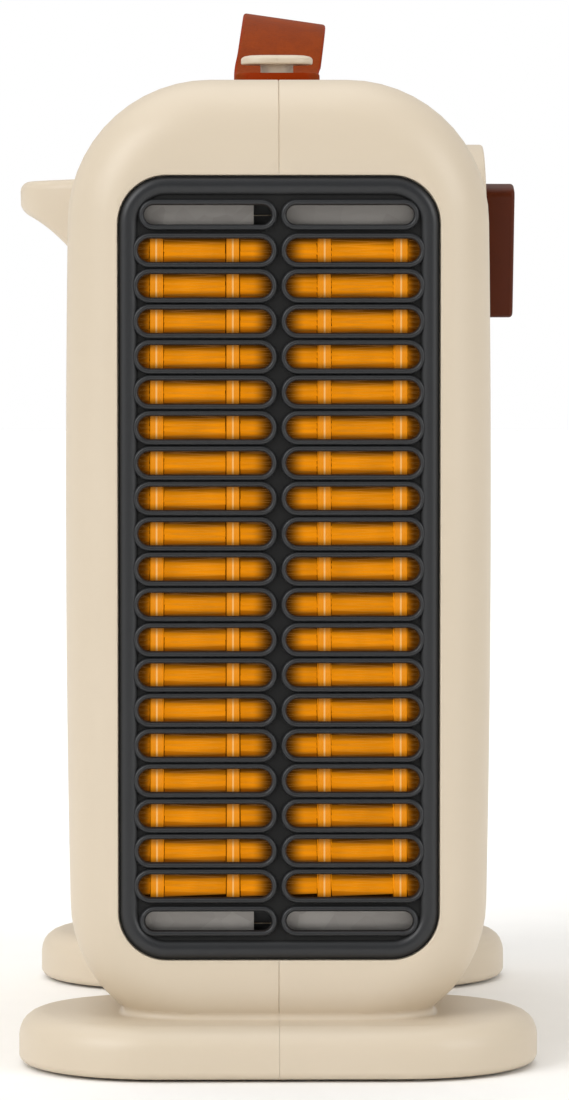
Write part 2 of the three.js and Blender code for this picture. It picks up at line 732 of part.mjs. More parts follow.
/** The strap's flat end, buttoned over a post, up to where it lifts off the shell. */
function strapEnd(sign) {
  const line = [
    [-strap.endY, strapPivotZ],
    [-strap.riseY, strapPivotZ],
    [-41, strapPivotZ + 0.9],
    [-38.6, strapPivotZ + 2.4]
  ]
  const band = alongX(strip(line, strap.thickness), -strap.width / 2, strap.width / 2)
  const end = band.subtract(rod('z', strap.postRadius + 0.6, 280, 300, [0, -strap.postY], 16))
  return sign < 0 ? end : end.rotate([0, 0, 180])
}

place('strap_end_front', strapEnd(-1), tanLeather)
place('strap_end_rear', strapEnd(1), tanLeather)

const archStart = { y: 36.5, rise: 4.4 }
const archRise = 19.3
const archLine = []
for (let i = 0; i <= 12; i++) {
  const across = i / 6 - 1
  const rise = archStart.rise + (archRise - archStart.rise) * (1 - Math.abs(across) ** 2.2)
  archLine.push([archStart.y * across, rise])
}
const archBand = alongX(strip(archLine, strap.thickness), -strap.width / 2, strap.width / 2)
const arch = place('strap_arch', archBand, tanLeather, [0, 0, strapPivotZ])
arch.rotation.y = strapLean

export default heater
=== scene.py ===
import math

import bmesh
import bpy
import numpy as np
from mathutils import Euler, Matrix, Vector


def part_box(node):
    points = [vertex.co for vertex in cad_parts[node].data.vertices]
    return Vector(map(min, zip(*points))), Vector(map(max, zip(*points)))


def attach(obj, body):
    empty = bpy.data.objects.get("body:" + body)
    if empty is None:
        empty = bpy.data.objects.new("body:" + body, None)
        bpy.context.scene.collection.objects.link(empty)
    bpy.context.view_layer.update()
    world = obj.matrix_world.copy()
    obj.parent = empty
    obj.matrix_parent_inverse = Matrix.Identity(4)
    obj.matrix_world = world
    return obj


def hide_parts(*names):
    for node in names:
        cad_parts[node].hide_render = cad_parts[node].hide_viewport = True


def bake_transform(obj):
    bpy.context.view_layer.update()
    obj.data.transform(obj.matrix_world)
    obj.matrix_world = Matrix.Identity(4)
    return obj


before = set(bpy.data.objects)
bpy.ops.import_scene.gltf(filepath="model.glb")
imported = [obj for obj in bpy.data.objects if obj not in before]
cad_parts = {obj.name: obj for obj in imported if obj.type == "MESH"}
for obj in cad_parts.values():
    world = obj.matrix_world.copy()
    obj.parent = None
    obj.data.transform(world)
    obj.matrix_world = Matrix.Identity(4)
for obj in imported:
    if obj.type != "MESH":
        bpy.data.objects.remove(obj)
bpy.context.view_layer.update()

# ---- Camera, floor and studio light -------------------------------------------------------------
# The heater stands on a plain pale floor. A long lens looks at the hot-air grille from just below
# the top of the body, and big soft boxes on both sides and above light it almost without shadow.
MM = 0.001
scene = bpy.context.scene
scene.view_settings.view_transform = "Standard"

camera_data = bpy.data.cameras.new("camera")
camera_data.lens = 171.94
camera_data.sensor_width = 36
camera = bpy.data.objects.new("camera", camera_data)
camera.location = (-15.5 * MM, -1660.2 * MM, 237.7 * MM)
camera.rotation_euler = Euler((math.radians(90 - 3.077), 0, math.radians(-0.637)))
scene.collection.objects.link(camera)
scene.camera = camera


def linear(colour):
    """An sRGB hex colour as linear red, green, blue and full alpha."""
    shares = [int(colour[i : i + 2], 16) / 255 for i in (0, 2, 4)]
    return tuple(s / 12.92 if s < 0.04045 else ((s + 0.055) / 1.055) ** 2.4 for s in shares) + (1.0,)


def add(tree, kind, inputs=None, **settings):
    """Adds a node. An input, by name or number, is a value, or the socket or node it is linked to."""
    made = tree.nodes.new(kind)
    for name, value in settings.items():
        setattr(made, name, value)
    for name, value in (inputs or {}).items():
        if isinstance(value, bpy.types.Node):
            value = value.outputs[0]
        if isinstance(value, bpy.types.NodeSocket):
            tree.links.new(value, made.inputs[name])
        else:
            made.inputs[name].default_value = value
    return made


def surface(name):
    """A new material with its node tree, its shader and its object coordinates."""
    material = bpy.data.materials.new(name)
    material.use_nodes = True
    tree = material.node_tree
    tree.nodes.clear()
    shader = add(tree, "ShaderNodeBsdfPrincipled")
    add(tree, "ShaderNodeOutputMaterial", {"Surface": shader.outputs[0]})
    place = add(tree, "ShaderNodeTexCoord").outputs["Object"]
    return material, tree, shader, place


# A matt painted studio floor: even and pale, with a faint roller texture of about 20 mm.
floor_paint, tree, shader, place = surface("matt_floor_paint")
roller = add(tree, "ShaderNodeTexNoise", {"Vector": place, "Scale": 50.0, "Detail": 3.0})
tint = add(tree, "ShaderNodeMix", {
    0: roller.outputs[0], 6: linear("f6f5f3"), 7: linear("f9f8f6")
}, data_type="RGBA")
tree.links.new(tint.outputs[2], shader.inputs["Base Color"])
shader.inputs["Roughness"].default_value = 0.8

floor_half = 6.0
floor_mesh = bpy.data.meshes.new("floor")
floor_corners = [(x * floor_half, y * floor_half, 0) for x, y in ((-1, -1), (1, -1), (1, 1), (-1, 1))]
floor_mesh.from_pydata(floor_corners, [], [(0, 1, 2, 3)])
floor_mesh.materials.append(floor_paint)
floor = bpy.data.objects.new("floor", floor_mesh)
scene.collection.objects.link(floor)

# The studio looks white. Its walls are lit on all sides except in front of the hot-air grille, so
# that surfaces facing that way reflect little and edges turned to a side catch the light.
world = bpy.data.worlds.new("studio")
world.use_nodes = True
sky = world.node_tree
sky.nodes.clear()
direction = add(sky, "ShaderNodeTexCoord").outputs["Generated"]
towards = add(sky, "ShaderNodeVectorMath", {
    0: direction, 1: (0, -1, 0)
}, operation="DOT_PRODUCT").outputs["Value"]
wall_light = add(sky, "ShaderNodeMapRange", {
    "Value": towards, "From Min": 0.5, "From Max": 0.95, "To Min": 0.62, "To Max": 0.06
}, interpolation_type="SMOOTHSTEP")
shed = add(sky, "ShaderNodeBackground", {"Color": (1.0, 0.99, 0.97, 1), "Strength": wall_light.outputs[0]})
seen = add(sky, "ShaderNodeBackground", {"Color": (1, 1, 1, 1), "Strength": 1.0})
which = add(sky, "ShaderNodeLightPath").outputs["Is Camera Ray"]
either = add(sky, "ShaderNodeMixShader", {0: which, 1: shed.outputs[0], 2: seen.outputs[0]})
add(sky, "ShaderNodeOutputWorld", {"Surface": either.outputs[0]})
scene.world = world

# Far, wide lamps light the whole floor evenly: where each stands, its strength, its width in degrees.
lamps = {
    "left_lamp": ((-1.0, -0.95, 0.75), 1.6, 38),
    "right_lamp": ((1.0, -0.75, 0.45), 0.95, 34),
    "top_lamp": ((-0.15, 0.1, 1.0), 1.0, 60),
}
for name, (place_of_lamp, strength, wide) in lamps.items():
    light = bpy.data.lights.new(name, "SUN")
    light.energy = strength
    light.angle = math.radians(wide)
    lamp = bpy.data.objects.new(name, light)
    lamp.rotation_euler = (-Vector(place_of_lamp)).to_track_quat("-Z", "Y").to_euler()
    scene.collection.objects.link(lamp)

# ---- Half shells ----------------------------------------------------------------------------------
# The body is two injection-moulded ABS half shells that meet on the middle plane. Each carries its
# half of both feet and of the two strap posts; the left one also the spout and the screw holes, the
# right one the round boss under the dial. Four screws pull them together.
foot_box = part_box("shell_right")
plate_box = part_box("front_grille")
intake_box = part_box("rear_grille")

# A moulded cream ABS with a fine spark-eroded texture: soft gloss, no visible flow marks. The real
# grain is about 0.1 mm; it is drawn at 0.6 mm so that it shows.
cream_abs, tree, shader, place = surface("moulded_cream_abs")
cloud = add(tree, "ShaderNodeTexNoise", {"Vector": place, "Scale": 14.0, "Detail": 2.0})
tint = add(tree, "ShaderNodeMix", {
    0: cloud.outputs[0], 6: linear("c8baa4"), 7: linear("cec0ac")
}, data_type="RGBA")
tree.links.new(tint.outputs[2], shader.inputs["Base Color"])
grain = add(tree, "ShaderNodeTexNoise", {"Vector": place, "Scale": 1 / (0.6 * MM), "Detail": 3.0})
gloss = add(tree, "ShaderNodeMapRange", {"Value": grain.outputs[0], "To Min": 0.36, "To Max": 0.48})
tree.links.new(gloss.outputs[0], shader.inputs["Roughness"])
relief = add(tree, "ShaderNodeBump", {"Height": grain.outputs[0], "Strength": 0.06, "Distance": 0.1 * MM})
tree.links.new(relief.outputs[0], shader.inputs["Normal"])
shader.inputs["IOR"].default_value = 1.52

seam_half_gap = 0.03
seam_chamfer = 0.22
post_places, post_radius = (-55.0, 55.0), 5.0
cap_straight, cap_radius, cap_bottom = 3.9, 7.0, 299.8
lip_back, lip_front = 117.9, 120.6
body_bottom, body_top = 10.0, 293.0
face_y = 123.0
edge_round = 17.0
wall = 2.6
corner_places = {"top": (20.2, 251.0, 42.0), "bottom": (21.8, 50.0, 40.0)}
side_bow = (63.8, 150.0)


def arc(centre_x, centre_z, radius, from_degrees, to_degrees, count):
    angles = np.radians(np.linspace(from_degrees, to_degrees, count))
    return np.stack([centre_x + radius * np.cos(angles), centre_z + radius * np.sin(angles)], axis=1)


def level_run(from_x, to_x, z, count):
    return np.stack([np.linspace(from_x, to_x, count, endpoint=False), np.full(count, z)], axis=1)


def body_ring(inset, first_x, corner_steps=14):
    """Half of the body's outline from the top seam round the side to the bottom seam, in (x, z)."""
    (top_x, top_z, top_radius), (bottom_x, bottom_z, bottom_radius) = corner_places.values()
    start = np.array((top_x + top_radius - inset, top_z))
    control = np.array((side_bow[0] - inset, side_bow[1]))
    end = np.array((bottom_x + bottom_radius - inset, bottom_z))
    share = np.linspace(0, 1, 16)[1:-1, None]
    side = (1 - share) ** 2 * start + 2 * share * (1 - share) * control + share**2 * end
    return np.concatenate([
        level_run(first_x, top_x, body_top - inset, 6),
        arc(top_x, top_z, top_radius - inset, 90, 0, corner_steps),
        side,
        arc(bottom_x, bottom_z, bottom_radius - inset, 0, -90, corner_steps),
        level_run(first_x, bottom_x, body_bottom + inset, 6)[::-1],
    ])


def plate_ring(box_mm, grow, first_x, corner_steps=14, corner=14.0):
    """Half of a grille plate's outline, grown by a margin, with as many points as body_ring."""
    (low, high) = box_mm
    half, radius = high[0] + grow, corner + grow
    top, bottom = high[2] + grow, low[2] - grow
    side_z = np.linspace(top - radius, bottom + radius, 16)[1:-1]
    return np.concatenate([
        level_run(first_x, half - radius, top, 6),
        arc(half - radius, top - radius, radius, 90, 0, corner_steps),
        np.stack([np.full(14, half), side_z], axis=1),
        arc(half - radius, bottom + radius, radius, 0, -90, corner_steps),
        level_run(first_x, half - radius, bottom, 6)[::-1],
    ])


def face_depth(points):
    """How far the rounded face lies behind its foremost plane at each (x, z)."""
    outline = body_ring(0, 0, 60)
    gap = np.linalg.norm(points[:, None] - outline[None], axis=2).min(axis=1)
    gap = np.minimum(gap, edge_round)
    return edge_round - np.sqrt(edge_round**2 - (edge_round - gap) ** 2)


def in_mm(box):
    return [[value / MM for value in corner] for corner in box]


def face_rings(box_mm, sign, first_x):
    """Rings from the lip behind a grille, over its recess and the face, to the side of the body."""
    rings = []
    recess = ((-3, lip_back), (-3, lip_front), (0.3, lip_front), (0.3, 122.6), (0.42, 122.88), (0.7, face_y))
    for grow, y in recess:
        outline = plate_ring(box_mm, grow, first_x)
        rings.append((outline, np.full(len(outline), sign * y)))
    rim = plate_ring(box_mm, 0.7, first_x)
    steep = math.radians(68)
    shoulder = body_ring(edge_round * (1 - math.cos(steep)), first_x)
    for share in (0.3, 0.65):
        outline = rim * (1 - share) + shoulder * share
        rings.append((outline, sign * (face_y - face_depth(outline))))
    for angle in np.linspace(steep, 0, 9):
        outline = body_ring(edge_round * (1 - math.cos(angle)), first_x)
        y = face_y - edge_round + edge_round * math.sin(angle)
        rings.append((outline, np.full(len(outline), sign * y)))
    return rings


def inner_rings(box_mm, sign, first_x):
    """Rings from the inside of the side wall to the collar behind a grille."""
    rings = []
    inner_round = edge_round - wall
    for degrees in (0, 25, 50):
        angle = math.radians(degrees)
        outline = body_ring(wall + inner_round * (1 - math.cos(angle)), first_x)
        y = face_y - edge_round + inner_round * math.sin(angle)
        rings.append((outline, np.full(len(outline), sign * y)))
    outline = plate_ring(box_mm, 2.5, first_x)
    rings.append((outline, np.full(len(outline), sign * lip_back)))
    return rings


class Pieces:
    """Collects lofted pieces of one mesh, in millimetres."""

    def __init__(self):
        self.points, self.faces = [], []

    def loft(self, rings, closed_round=True, capped=True, looped=False):
        """Joins rings of equally many points with faces, and closes the ends."""
        first, count = len(self.points), len(rings[0])
        for ring in rings:
            self.points.extend(tuple(point) for point in ring)
        spans = len(rings) if looped else len(rings) - 1
        for i in range(spans):
            here, there = first + i * count, first + (i + 1) % len(rings) * count
            for j in range(count if closed_round else count - 1):
                k = (j + 1) % count
                self.faces.append((here + j, here + k, there + k, there + j))
        if capped:
            last = first + (len(rings) - 1) * count
            self.faces.append(tuple(range(first + count - 1, first - 1, -1)))
            self.faces.append(tuple(range(last, last + count)))

    def mirrored(self):
        other = Pieces()
        other.points = [(-x, y, z) for x, y, z in self.points]
        other.faces = [face[::-1] for face in self.faces]
        return other

    def object(self, name, material, sharp_degrees=35):
        mesh = bpy.data.meshes.new(name)
        mesh.from_pydata([tuple(c * MM for c in point) for point in self.points], [], self.faces)
        mesh.validate()
        made = bpy.data.objects.new(name, mesh)
        scene.collection.objects.link(made)
        return finished(made, material, sharp_degrees)


def finished(made, material, sharp_degrees=35):
    """Turns the faces outwards, merges doubles, sets the shading and the material."""
    work = bmesh.new()
    work.from_mesh(made.data)
    bmesh.ops.remove_doubles(work, verts=work.verts, dist=0.002 * MM)
    bmesh.ops.recalc_face_normals(work, faces=work.faces)
    work.to_mesh(made.data)
    work.free()
    made.data.shade_smooth()
    made.data.set_sharp_from_angle(angle=math.radians(sharp_degrees))
    made.data.materials.clear()
    made.data.materials.append(material)
    return made


def applied(made):
    """Swaps an object's modifiers for the mesh they give."""
    depsgraph = bpy.context.evaluated_depsgraph_get()
    mesh = bpy.data.meshes.new_from_object(made.evaluated_get(depsgraph))
    made.modifiers.clear()
    made.data = mesh
    return made


def half_body(first_x):
    """The hollow half body: its section runs from the top seam round the side to the bottom seam."""
    front, rear = in_mm(plate_box), in_mm(intake_box)
    rings = face_rings(front, -1, first_x)
    for y in (-60, 0, 60):
        outline = body_ring(0, first_x)
        rings.append((outline, np.full(len(outline), float(y))))
    rings += face_rings(rear, 1, first_x)[::-1]
    outer_count = len(rings)
    rings += inner_rings(rear, 1, first_x)[::-1] + inner_rings(front, -1, first_x)
    columns = np.stack([np.stack([outline[:, 0], y, outline[:, 1]], axis=1) for outline, y in rings])
    return columns, outer_count


def seam_edge(columns, outer_count, end):
    """The chamfered edge on the seam: the outer surface drops by the chamfer towards the other half."""
    edge = columns[:, end].copy()
    edge[:, 0] = seam_half_gap
    before, after = np.roll(edge, 1, axis=0), np.roll(edge, -1, axis=0)
    along = after - before
    outward = np.stack([np.zeros(len(edge)), along[:, 2], -along[:, 1]], axis=1)
    outward /= np.linalg.norm(outward, axis=1)[:, None]
    middle = edge[:outer_count].mean(axis=0)
    if np.sum(outward[outer_count // 2] * (edge[outer_count // 2] - middle)) < 0:
        outward = -outward
    skin = slice(5, outer_count - 5)
    edge[skin] -= outward[skin] * seam_chamfer
    return edge


def body_shell():
    shell = Pieces()
    columns, outer_count = half_body(seam_half_gap + seam_chamfer)
    columns = np.concatenate([
        seam_edge(columns, outer_count, 0)[:, None], columns, seam_edge(columns, outer_count, -1)[:, None]
    ], axis=1)
    shell.loft([columns[:, i] for i in range(columns.shape[1])])
    return shell


def fittings():
    """What both halves carry: halves of the feet, of the strap posts and of their caps."""
    shell = Pieces()
    foot_end = foot_box[1][0] / MM
    foot_radius = 41.5
    foot_y = foot_box[1][1] / MM - foot_radius
    for y in (-foot_y, foot_y):
        shell.loft([
            half_stadium(foot_end - foot_radius, y, foot_radius - inset, seam_half_gap, z)
            for inset, z in foot_levels
        ])
    for y in post_places:
        shell.loft([half_stadium(0, y, post_radius, seam_half_gap, z) for z in (body_top - 2, cap_bottom)])
        shell.loft([
            half_stadium(cap_straight, y, cap_radius - inset, seam_half_gap, z, 0.5)
            for inset, z in cap_levels
        ])
    for sign in (-1, 1):
        shell.loft(crease_fillet(sign))
    return shell


def half_stadium(straight, centre_y, radius, first_x, z, flat_half=0.0, steps=24):
    """Half of a bar's plan outline with a round end, at height z."""
    round_end = arc(straight, 0, radius, -90, 90, steps)
    round_end[:, 1] += np.where(round_end[:, 1] < 0, -flat_half, flat_half)
    lead = [(first_x, -radius - flat_half)]
    trail = [(first_x, radius + flat_half)]
    plan = np.concatenate([lead, round_end, trail])
    return np.stack([plan[:, 0], plan[:, 1] + centre_y, np.full(len(plan), z)], axis=1)


def rounded_levels(bottom, top, bottom_round, top_round, steps=7):
    """Insets and heights of the rings of a slab with rounded lower and upper edges."""
    flat_rim = 1.5
    levels = [(bottom_round + flat_rim, bottom)]
    for angle in np.linspace(-math.pi / 2, 0, steps):
        levels.append((bottom_round * (1 - math.cos(angle)), bottom + bottom_round * (1 + math.sin(angle))))
    for angle in np.linspace(0, math.pi / 2, steps):
        levels.append((top_round * (1 - math.cos(angle)), top - top_round * (1 - math.sin(angle))))
    levels.append((top_round + flat_rim, top))
    return levels


foot_top = 16.0
foot_levels = rounded_levels(0.8, foot_top, 2.5, 7.0)
cap_levels = [
    (0.9, 299.3), (0.25, 299.4), (0.0, 299.75), (0.0, 300.9),
    (0.3, 301.4), (1.0, 301.8), (2.4, 302.08), (4.4, 302.2),
]


def crease_fillet(sign):
    """A small fillet that eases the body into the top of a foot and fades out towards the middle."""
    bottom_x, bottom_z, bottom_radius = corner_places["bottom"]
    inner_radius = bottom_radius - edge_round
    rings = []

    def ring(centre, normal, radius):
        down = np.array((0.0, 0.0, -1.0))
        inwards = -normal
        span = math.acos(float(np.clip(down @ inwards, -1, 1)))
        points = []
        for share in np.linspace(0, 1, 8):
            turn = (math.sin((1 - share) * span) * down + math.sin(share * span) * inwards) / math.sin(span)
            points.append(centre + radius * turn)
        buried = points[-1] - 2.0 * normal
        return points + [buried, np.array((buried[0], buried[1], foot_top - 2)), points[0] + 2 * down]

    biggest = 1.4
    tilt_limit = math.acos((bottom_z - foot_top - biggest - inner_radius) / (edge_round + biggest))
    level_centre_y = sign * (face_y - edge_round + (edge_round + biggest) * math.sin(tilt_limit))
    level_normal = np.array((0, sign * math.sin(tilt_limit), -math.cos(tilt_limit)))
    for x in np.linspace(seam_half_gap, bottom_x, 8, endpoint=False):
        rings.append(ring(np.array((x, level_centre_y, foot_top + biggest)), level_normal, biggest))
    for tilt in np.linspace(tilt_limit * 0.999, 0, 14):
        reach = inner_radius + (edge_round + biggest) * math.cos(tilt)
        fall = math.asin(min((bottom_z - foot_top - biggest) / reach, 1))
        centre = np.array((
            bottom_x + reach * math.cos(fall),
            sign * (face_y - edge_round + (edge_round + biggest) * math.sin(tilt)),
            foot_top + biggest,
        ))
        normal = np.array((
            math.cos(tilt) * math.cos(fall), sign * math.sin(tilt), -math.cos(tilt) * math.sin(fall)
        ))
        rings.append(ring(centre, normal, biggest))
    for share in np.linspace(0.1, 1, 10):
        y = (face_y - edge_round) + (64.0 - (face_y - edge_round)) * share
        radius = biggest * (1 - share**2) + 0.15
        reach = bottom_radius + radius
        fall = math.asin((bottom_z - foot_top - radius) / reach)
        centre = np.array((bottom_x + reach * math.cos(fall), sign * y, foot_top + radius))
        rings.append(ring(centre, np.array((math.cos(fall), 0, -math.sin(fall))), radius))
    return rings


right_half = fittings()
left_half = fittings().mirrored()

# The round boss under the dial grip, with a small eased edge.
boss_y, boss_z, boss_radius, boss_face = 0.0, 243.0, 33.4, 65.3
boss_rings = []
boss_profile = [
    (0.0, 52.0), (0.0, boss_face - 0.9), (0.12, boss_face - 0.45), (0.45, boss_face - 0.12),
    (0.9, boss_face), (2.0, boss_face), (boss_radius - 14.0, boss_face),
]
for inset, x in boss_profile:
    circle = arc(boss_y, boss_z, boss_radius - inset, 0, 360, 97)[:-1]
    boss_rings.append(np.stack([np.full(len(circle), x), circle[:, 0], circle[:, 1]], axis=1))
right_half.loft(boss_rings)

# The spout on the left side: a lip with a rounded plan, a hollow underside and eased edges.
spout = {
    "root_x": -57.0, "tip_x": -80.2, "top": 264.6, "half_width": 22.0,
    "wall_x": -60.0, "tip_bottom": 255.2, "bend": 251.5, "root_bottom": 238.5,
}


def bezier(control, share):
    a, b, c, d = (np.array(point, float) for point in control)
    rest = 1 - share
    return rest**3 * a + 3 * rest**2 * share * b + 3 * rest * share**2 * c + share**3 * d


def spout_bottom(x):
    """Height of the underside: it falls from the tip to the root in a hollow curve."""
    share = np.clip((x - spout["tip_x"]) / (spout["wall_x"] - spout["tip_x"]), 0, 1)
    start, bend, end = spout["tip_bottom"], spout["bend"], spout["root_bottom"]
    return (1 - share) ** 2 * start + 2 * share * (1 - share) * bend + share**2 * end


def spout_station(share, side):
    """Section of one side of the spout at a share of its plan curve, from the top to the bottom."""
    half, tip, root = spout["half_width"], spout["tip_x"], spout["root_x"]
    control = ((root, half), (-67, half - 3.5), (tip, half - 5), (tip, 0))
    here, ahead = bezier(control, share), bezier(control, min(share + 0.01, 1))
    behind = bezier(control, max(share - 0.01, 0))
    along = ahead - behind
    inward = np.array((-along[1], along[0])) / np.linalg.norm(along)
    if inward[0] < 0:
        inward = -inward
    if share < 0.02:
        inward = np.array((0.0, -1.0))
    round_off = 3.0
    section = []
    for angle in np.linspace(math.pi / 2, -math.pi / 2, 13):
        off = round_off * (1 - math.cos(angle))
        plan = here + inward * off
        plan[1] = max(plan[1], 0.0)
        top = spout["top"] + 0.8 * (plan[0] - tip) / (root - tip)
        bottom = spout_bottom(plan[0])
        round_up = min(round_off, (top - bottom) / 2)
        if angle >= 0:
            z = top - round_up * (1 - math.sin(angle))
        else:
            z = bottom + round_up * (1 + math.sin(angle))
        section.append((plan[0], side * plan[1], z))
    first, last = section[0], section[-1]
    return [(first[0], 0.0, first[2])] + section + [(last[0], 0.0, last[2])]


spout_shares = [*np.linspace(0, 0.7, 12), *np.linspace(0.75, 1, 8)]
stations = [spout_station(share, 1) for share in spout_shares]
stations += [spout_station(share, -1) for share in spout_shares[-2::-1]]
left_half.loft(stations, closed_round=False, capped=False)
station_size = len(stations[0])
spout_end = len(left_half.points)
spout_start = spout_end - station_size * len(stations)
spout_rim = [*range(spout_start, spout_start + station_size), *range(spout_end - 2, spout_end - station_size, -1)]
left_half.faces.append(tuple(spout_rim))

# Screw wells in the left half: a bore through the side wall with a tube behind it.
bore_radius, tube_radius, screw_radius = 3.9, 5.4, 0.6
bore_end, tube_end = -12.3, -0.6
wells = Pieces()
for i in range(1, 5):
    low, high = in_mm(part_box(f"shell_screw_{i}"))
    y, z = (low[1] + high[1]) / 2, (low[2] + high[2]) / 2
    wells.loft([
        np.stack([np.full(32, x), *arc(y, z, bore_radius, 0, 360, 33)[:-1].T], axis=1)
        for x in (-75.0, bore_end)
    ])
    wall_x = -44.0 if z > body_top / 2 else -38.0
    left_half.loft([
        np.stack([np.full(32, x), *arc(y, z, radius, 0, 360, 33)[:-1].T], axis=1)
        for radius, x in (
            (tube_radius, wall_x), (tube_radius, tube_end), (screw_radius, tube_end),
            (screw_radius, bore_end), (bore_radius, bore_end), (bore_radius, wall_x),
        )
    ], capped=False, looped=True)


def joined(name, first, *others):
    """One object from several, with the first one's material."""
    work = bmesh.new()
    for part in (first, *others):
        work.from_mesh(part.data)
    work.to_mesh(first.data)
    work.free()
    for part in others:
        bpy.data.objects.remove(part)
    first.name = name
    first.data.name = name
    first.data.set_sharp_from_angle(angle=math.radians(35))
    return first


left_body = body_shell().mirrored().object("left_body", cream_abs)
wells_object = wells.object("wells", cream_abs)
difference = left_body.modifiers.new("wells", "BOOLEAN")
difference.operation = "DIFFERENCE"
difference.solver = "EXACT"
difference.object = wells_object
applied(left_body)
bpy.data.objects.remove(wells_object)
shell_left = joined("half_shell_left", left_body, left_half.object("left_fittings", cream_abs))
shell_right = joined(
    "half_shell_right",
    body_shell().object("right_body", cream_abs),
    right_half.object("right_fittings", cream_abs),
)

for shell, node in ((shell_left, "shell_left"), (shell_right, "shell_right")):
    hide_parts(node)
    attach(shell, "root")


# ---- Grilles --------------------------------------------------------------------------------------
# Each opening has a moulded black ABS plate: a pillow-shaped border, a sunken middle and rows of
# round-ended slots, each with a fine raised rim. The plate drops into the recess of the shells and
# is held between them. The hot-air grille has two columns, the intake on the far side has one.

# Black ABS: satin on the crests and matt in the valleys between them; its colour is painted lighter and slightly
# blue on the crests as a painted highlight, and near black in the valleys as painted shade.
# The grain of about 0.1 mm is drawn at 0.4 mm so that it shows.
satin_black_abs, tree, shader, place = surface("satin_black_abs")
spot = add(tree, "ShaderNodeSeparateXYZ", {0: place})
depth = add(tree, "ShaderNodeMath", {0: spot.outputs["Y"]}, operation="ABSOLUTE")
front_depth = abs(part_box("front_grille")[0][1])
# painted highlight and shade: by depth, the colour runs from near black in the valleys to lighter grey on the
# crests
crest_light_valley_shade = add(tree, "ShaderNodeMapRange", {
    "Value": depth.outputs[0], "From Min": front_depth - 1.4 * MM, "From Max": front_depth - 0.2 * MM
}, interpolation_type="SMOOTHSTEP")
tint = add(tree, "ShaderNodeMix", {
    0: crest_light_valley_shade.outputs[0], 6: linear("030303"), 7: linear("27282a")
}, data_type="RGBA")
tree.links.new(tint.outputs[2], shader.inputs["Base Color"])
grain = add(tree, "ShaderNodeTexNoise", {"Vector": place, "Scale": 1 / (0.4 * MM), "Detail": 2.0})
gloss = add(tree, "ShaderNodeMapRange", {"Value": grain.outputs[0], "To Min": 0.3, "To Max": 0.38})
matt = add(tree, "ShaderNodeMapRange", {"Value": crest_light_valley_shade.outputs[0], "To Min": 0.4, "To Max": 0.0})
dulled = add(tree, "ShaderNodeMath", {0: gloss, 1: matt}, operation="ADD")
tree.links.new(dulled.outputs[0], shader.inputs["Roughness"])
relief = add(tree, "ShaderNodeBump", {"Height": grain.outputs[0], "Strength": 0.05, "Distance": 0.1 * MM})
tree.links.new(relief.outputs[0], shader.inputs["Normal"])
shader.inputs["IOR"].default_value = 1.5
shader.inputs["Specular IOR Level"].default_value = 0.36

grille_tree = bpy.data.node_groups.new("slotted_plate", "GeometryNodeTree")
grille_tree.is_modifier = True
for name, kind, value in (
    ("Width", "NodeSocketFloat", 0.094),
    ("Height", "NodeSocketFloat", 0.23),
    ("Corner", "NodeSocketFloat", 0.014),
    ("Thickness", "NodeSocketFloat", 0.0012),
    ("Rows", "NodeSocketInt", 21),
    ("Columns", "NodeSocketInt", 2),
    ("Row Pitch", "NodeSocketFloat", 0.01037),
    ("Column Pitch", "NodeSocketFloat", 0.0434),
    ("Slot Width", "NodeSocketFloat", 0.039),
    ("Slot Height", "NodeSocketFloat", 0.0068),
    ("End Slot Width", "NodeSocketFloat", 0.0372),
    ("End Slot Height", "NodeSocketFloat", 0.0056),
    ("End Shift", "NodeSocketFloat", 0.0009),
    ("Rim Half Width", "NodeSocketFloat", 0.0003),
    ("Rim Height", "NodeSocketFloat", 0.0009),
    ("Shoulder Half Width", "NodeSocketFloat", 0.00088),
    ("Shoulder Height", "NodeSocketFloat", 0.00145),
    ("Border Half Width", "NodeSocketFloat", 0.0029),
    ("Border Height", "NodeSocketFloat", 0.0024),
    ("Border Sink", "NodeSocketFloat", 0.0009),
    ("Material", "NodeSocketMaterial", satin_black_abs),
):
    socket = grille_tree.interface.new_socket(name, in_out="INPUT", socket_type=kind)
    socket.default_value = value
grille_tree.interface.new_socket("Geometry", in_out="OUTPUT", socket_type="NodeSocketGeometry")
size = add(grille_tree, "NodeGroupInput").outputs


def round_rectangle(tree, width, height, radius, count):
    """A rectangle curve with rounded corners, laid on the plane of the plate."""
    flat = add(tree, "GeometryNodeCurvePrimitiveQuadrilateral", {"Width": width, "Height": height})
    return add(tree, "GeometryNodeFilletCurve", {
        "Curve": flat, "Radius": radius, "Count": count
    }, mode="POLY").outputs[0]


nearly_half = 0.4995  # a full half would put two points of a round end in one place


def slots_and_beads(width, height):
    """One slot's outline and the paths of the rim and of the rounded shoulder round it."""
    half = add(grille_tree, "ShaderNodeMath", {0: height, 1: nearly_half}, operation="MULTIPLY")
    curves = [round_rectangle(grille_tree, width, height, half, 8)]
    for bead_half in (size["Rim Half Width"], size["Shoulder Half Width"]):
        grow = add(grille_tree, "ShaderNodeMath", {0: bead_half, 1: 2.0}, operation="MULTIPLY")
        path_height = add(grille_tree, "ShaderNodeMath", {0: height, 1: grow}, operation="ADD")
        round_end = add(grille_tree, "ShaderNodeMath", {
            0: path_height, 1: nearly_half
        }, operation="MULTIPLY")
        path_width = add(grille_tree, "ShaderNodeMath", {0: width, 1: grow}, operation="ADD")
        curves.append(round_rectangle(grille_tree, path_width, path_height, round_end, 8))
    return curves


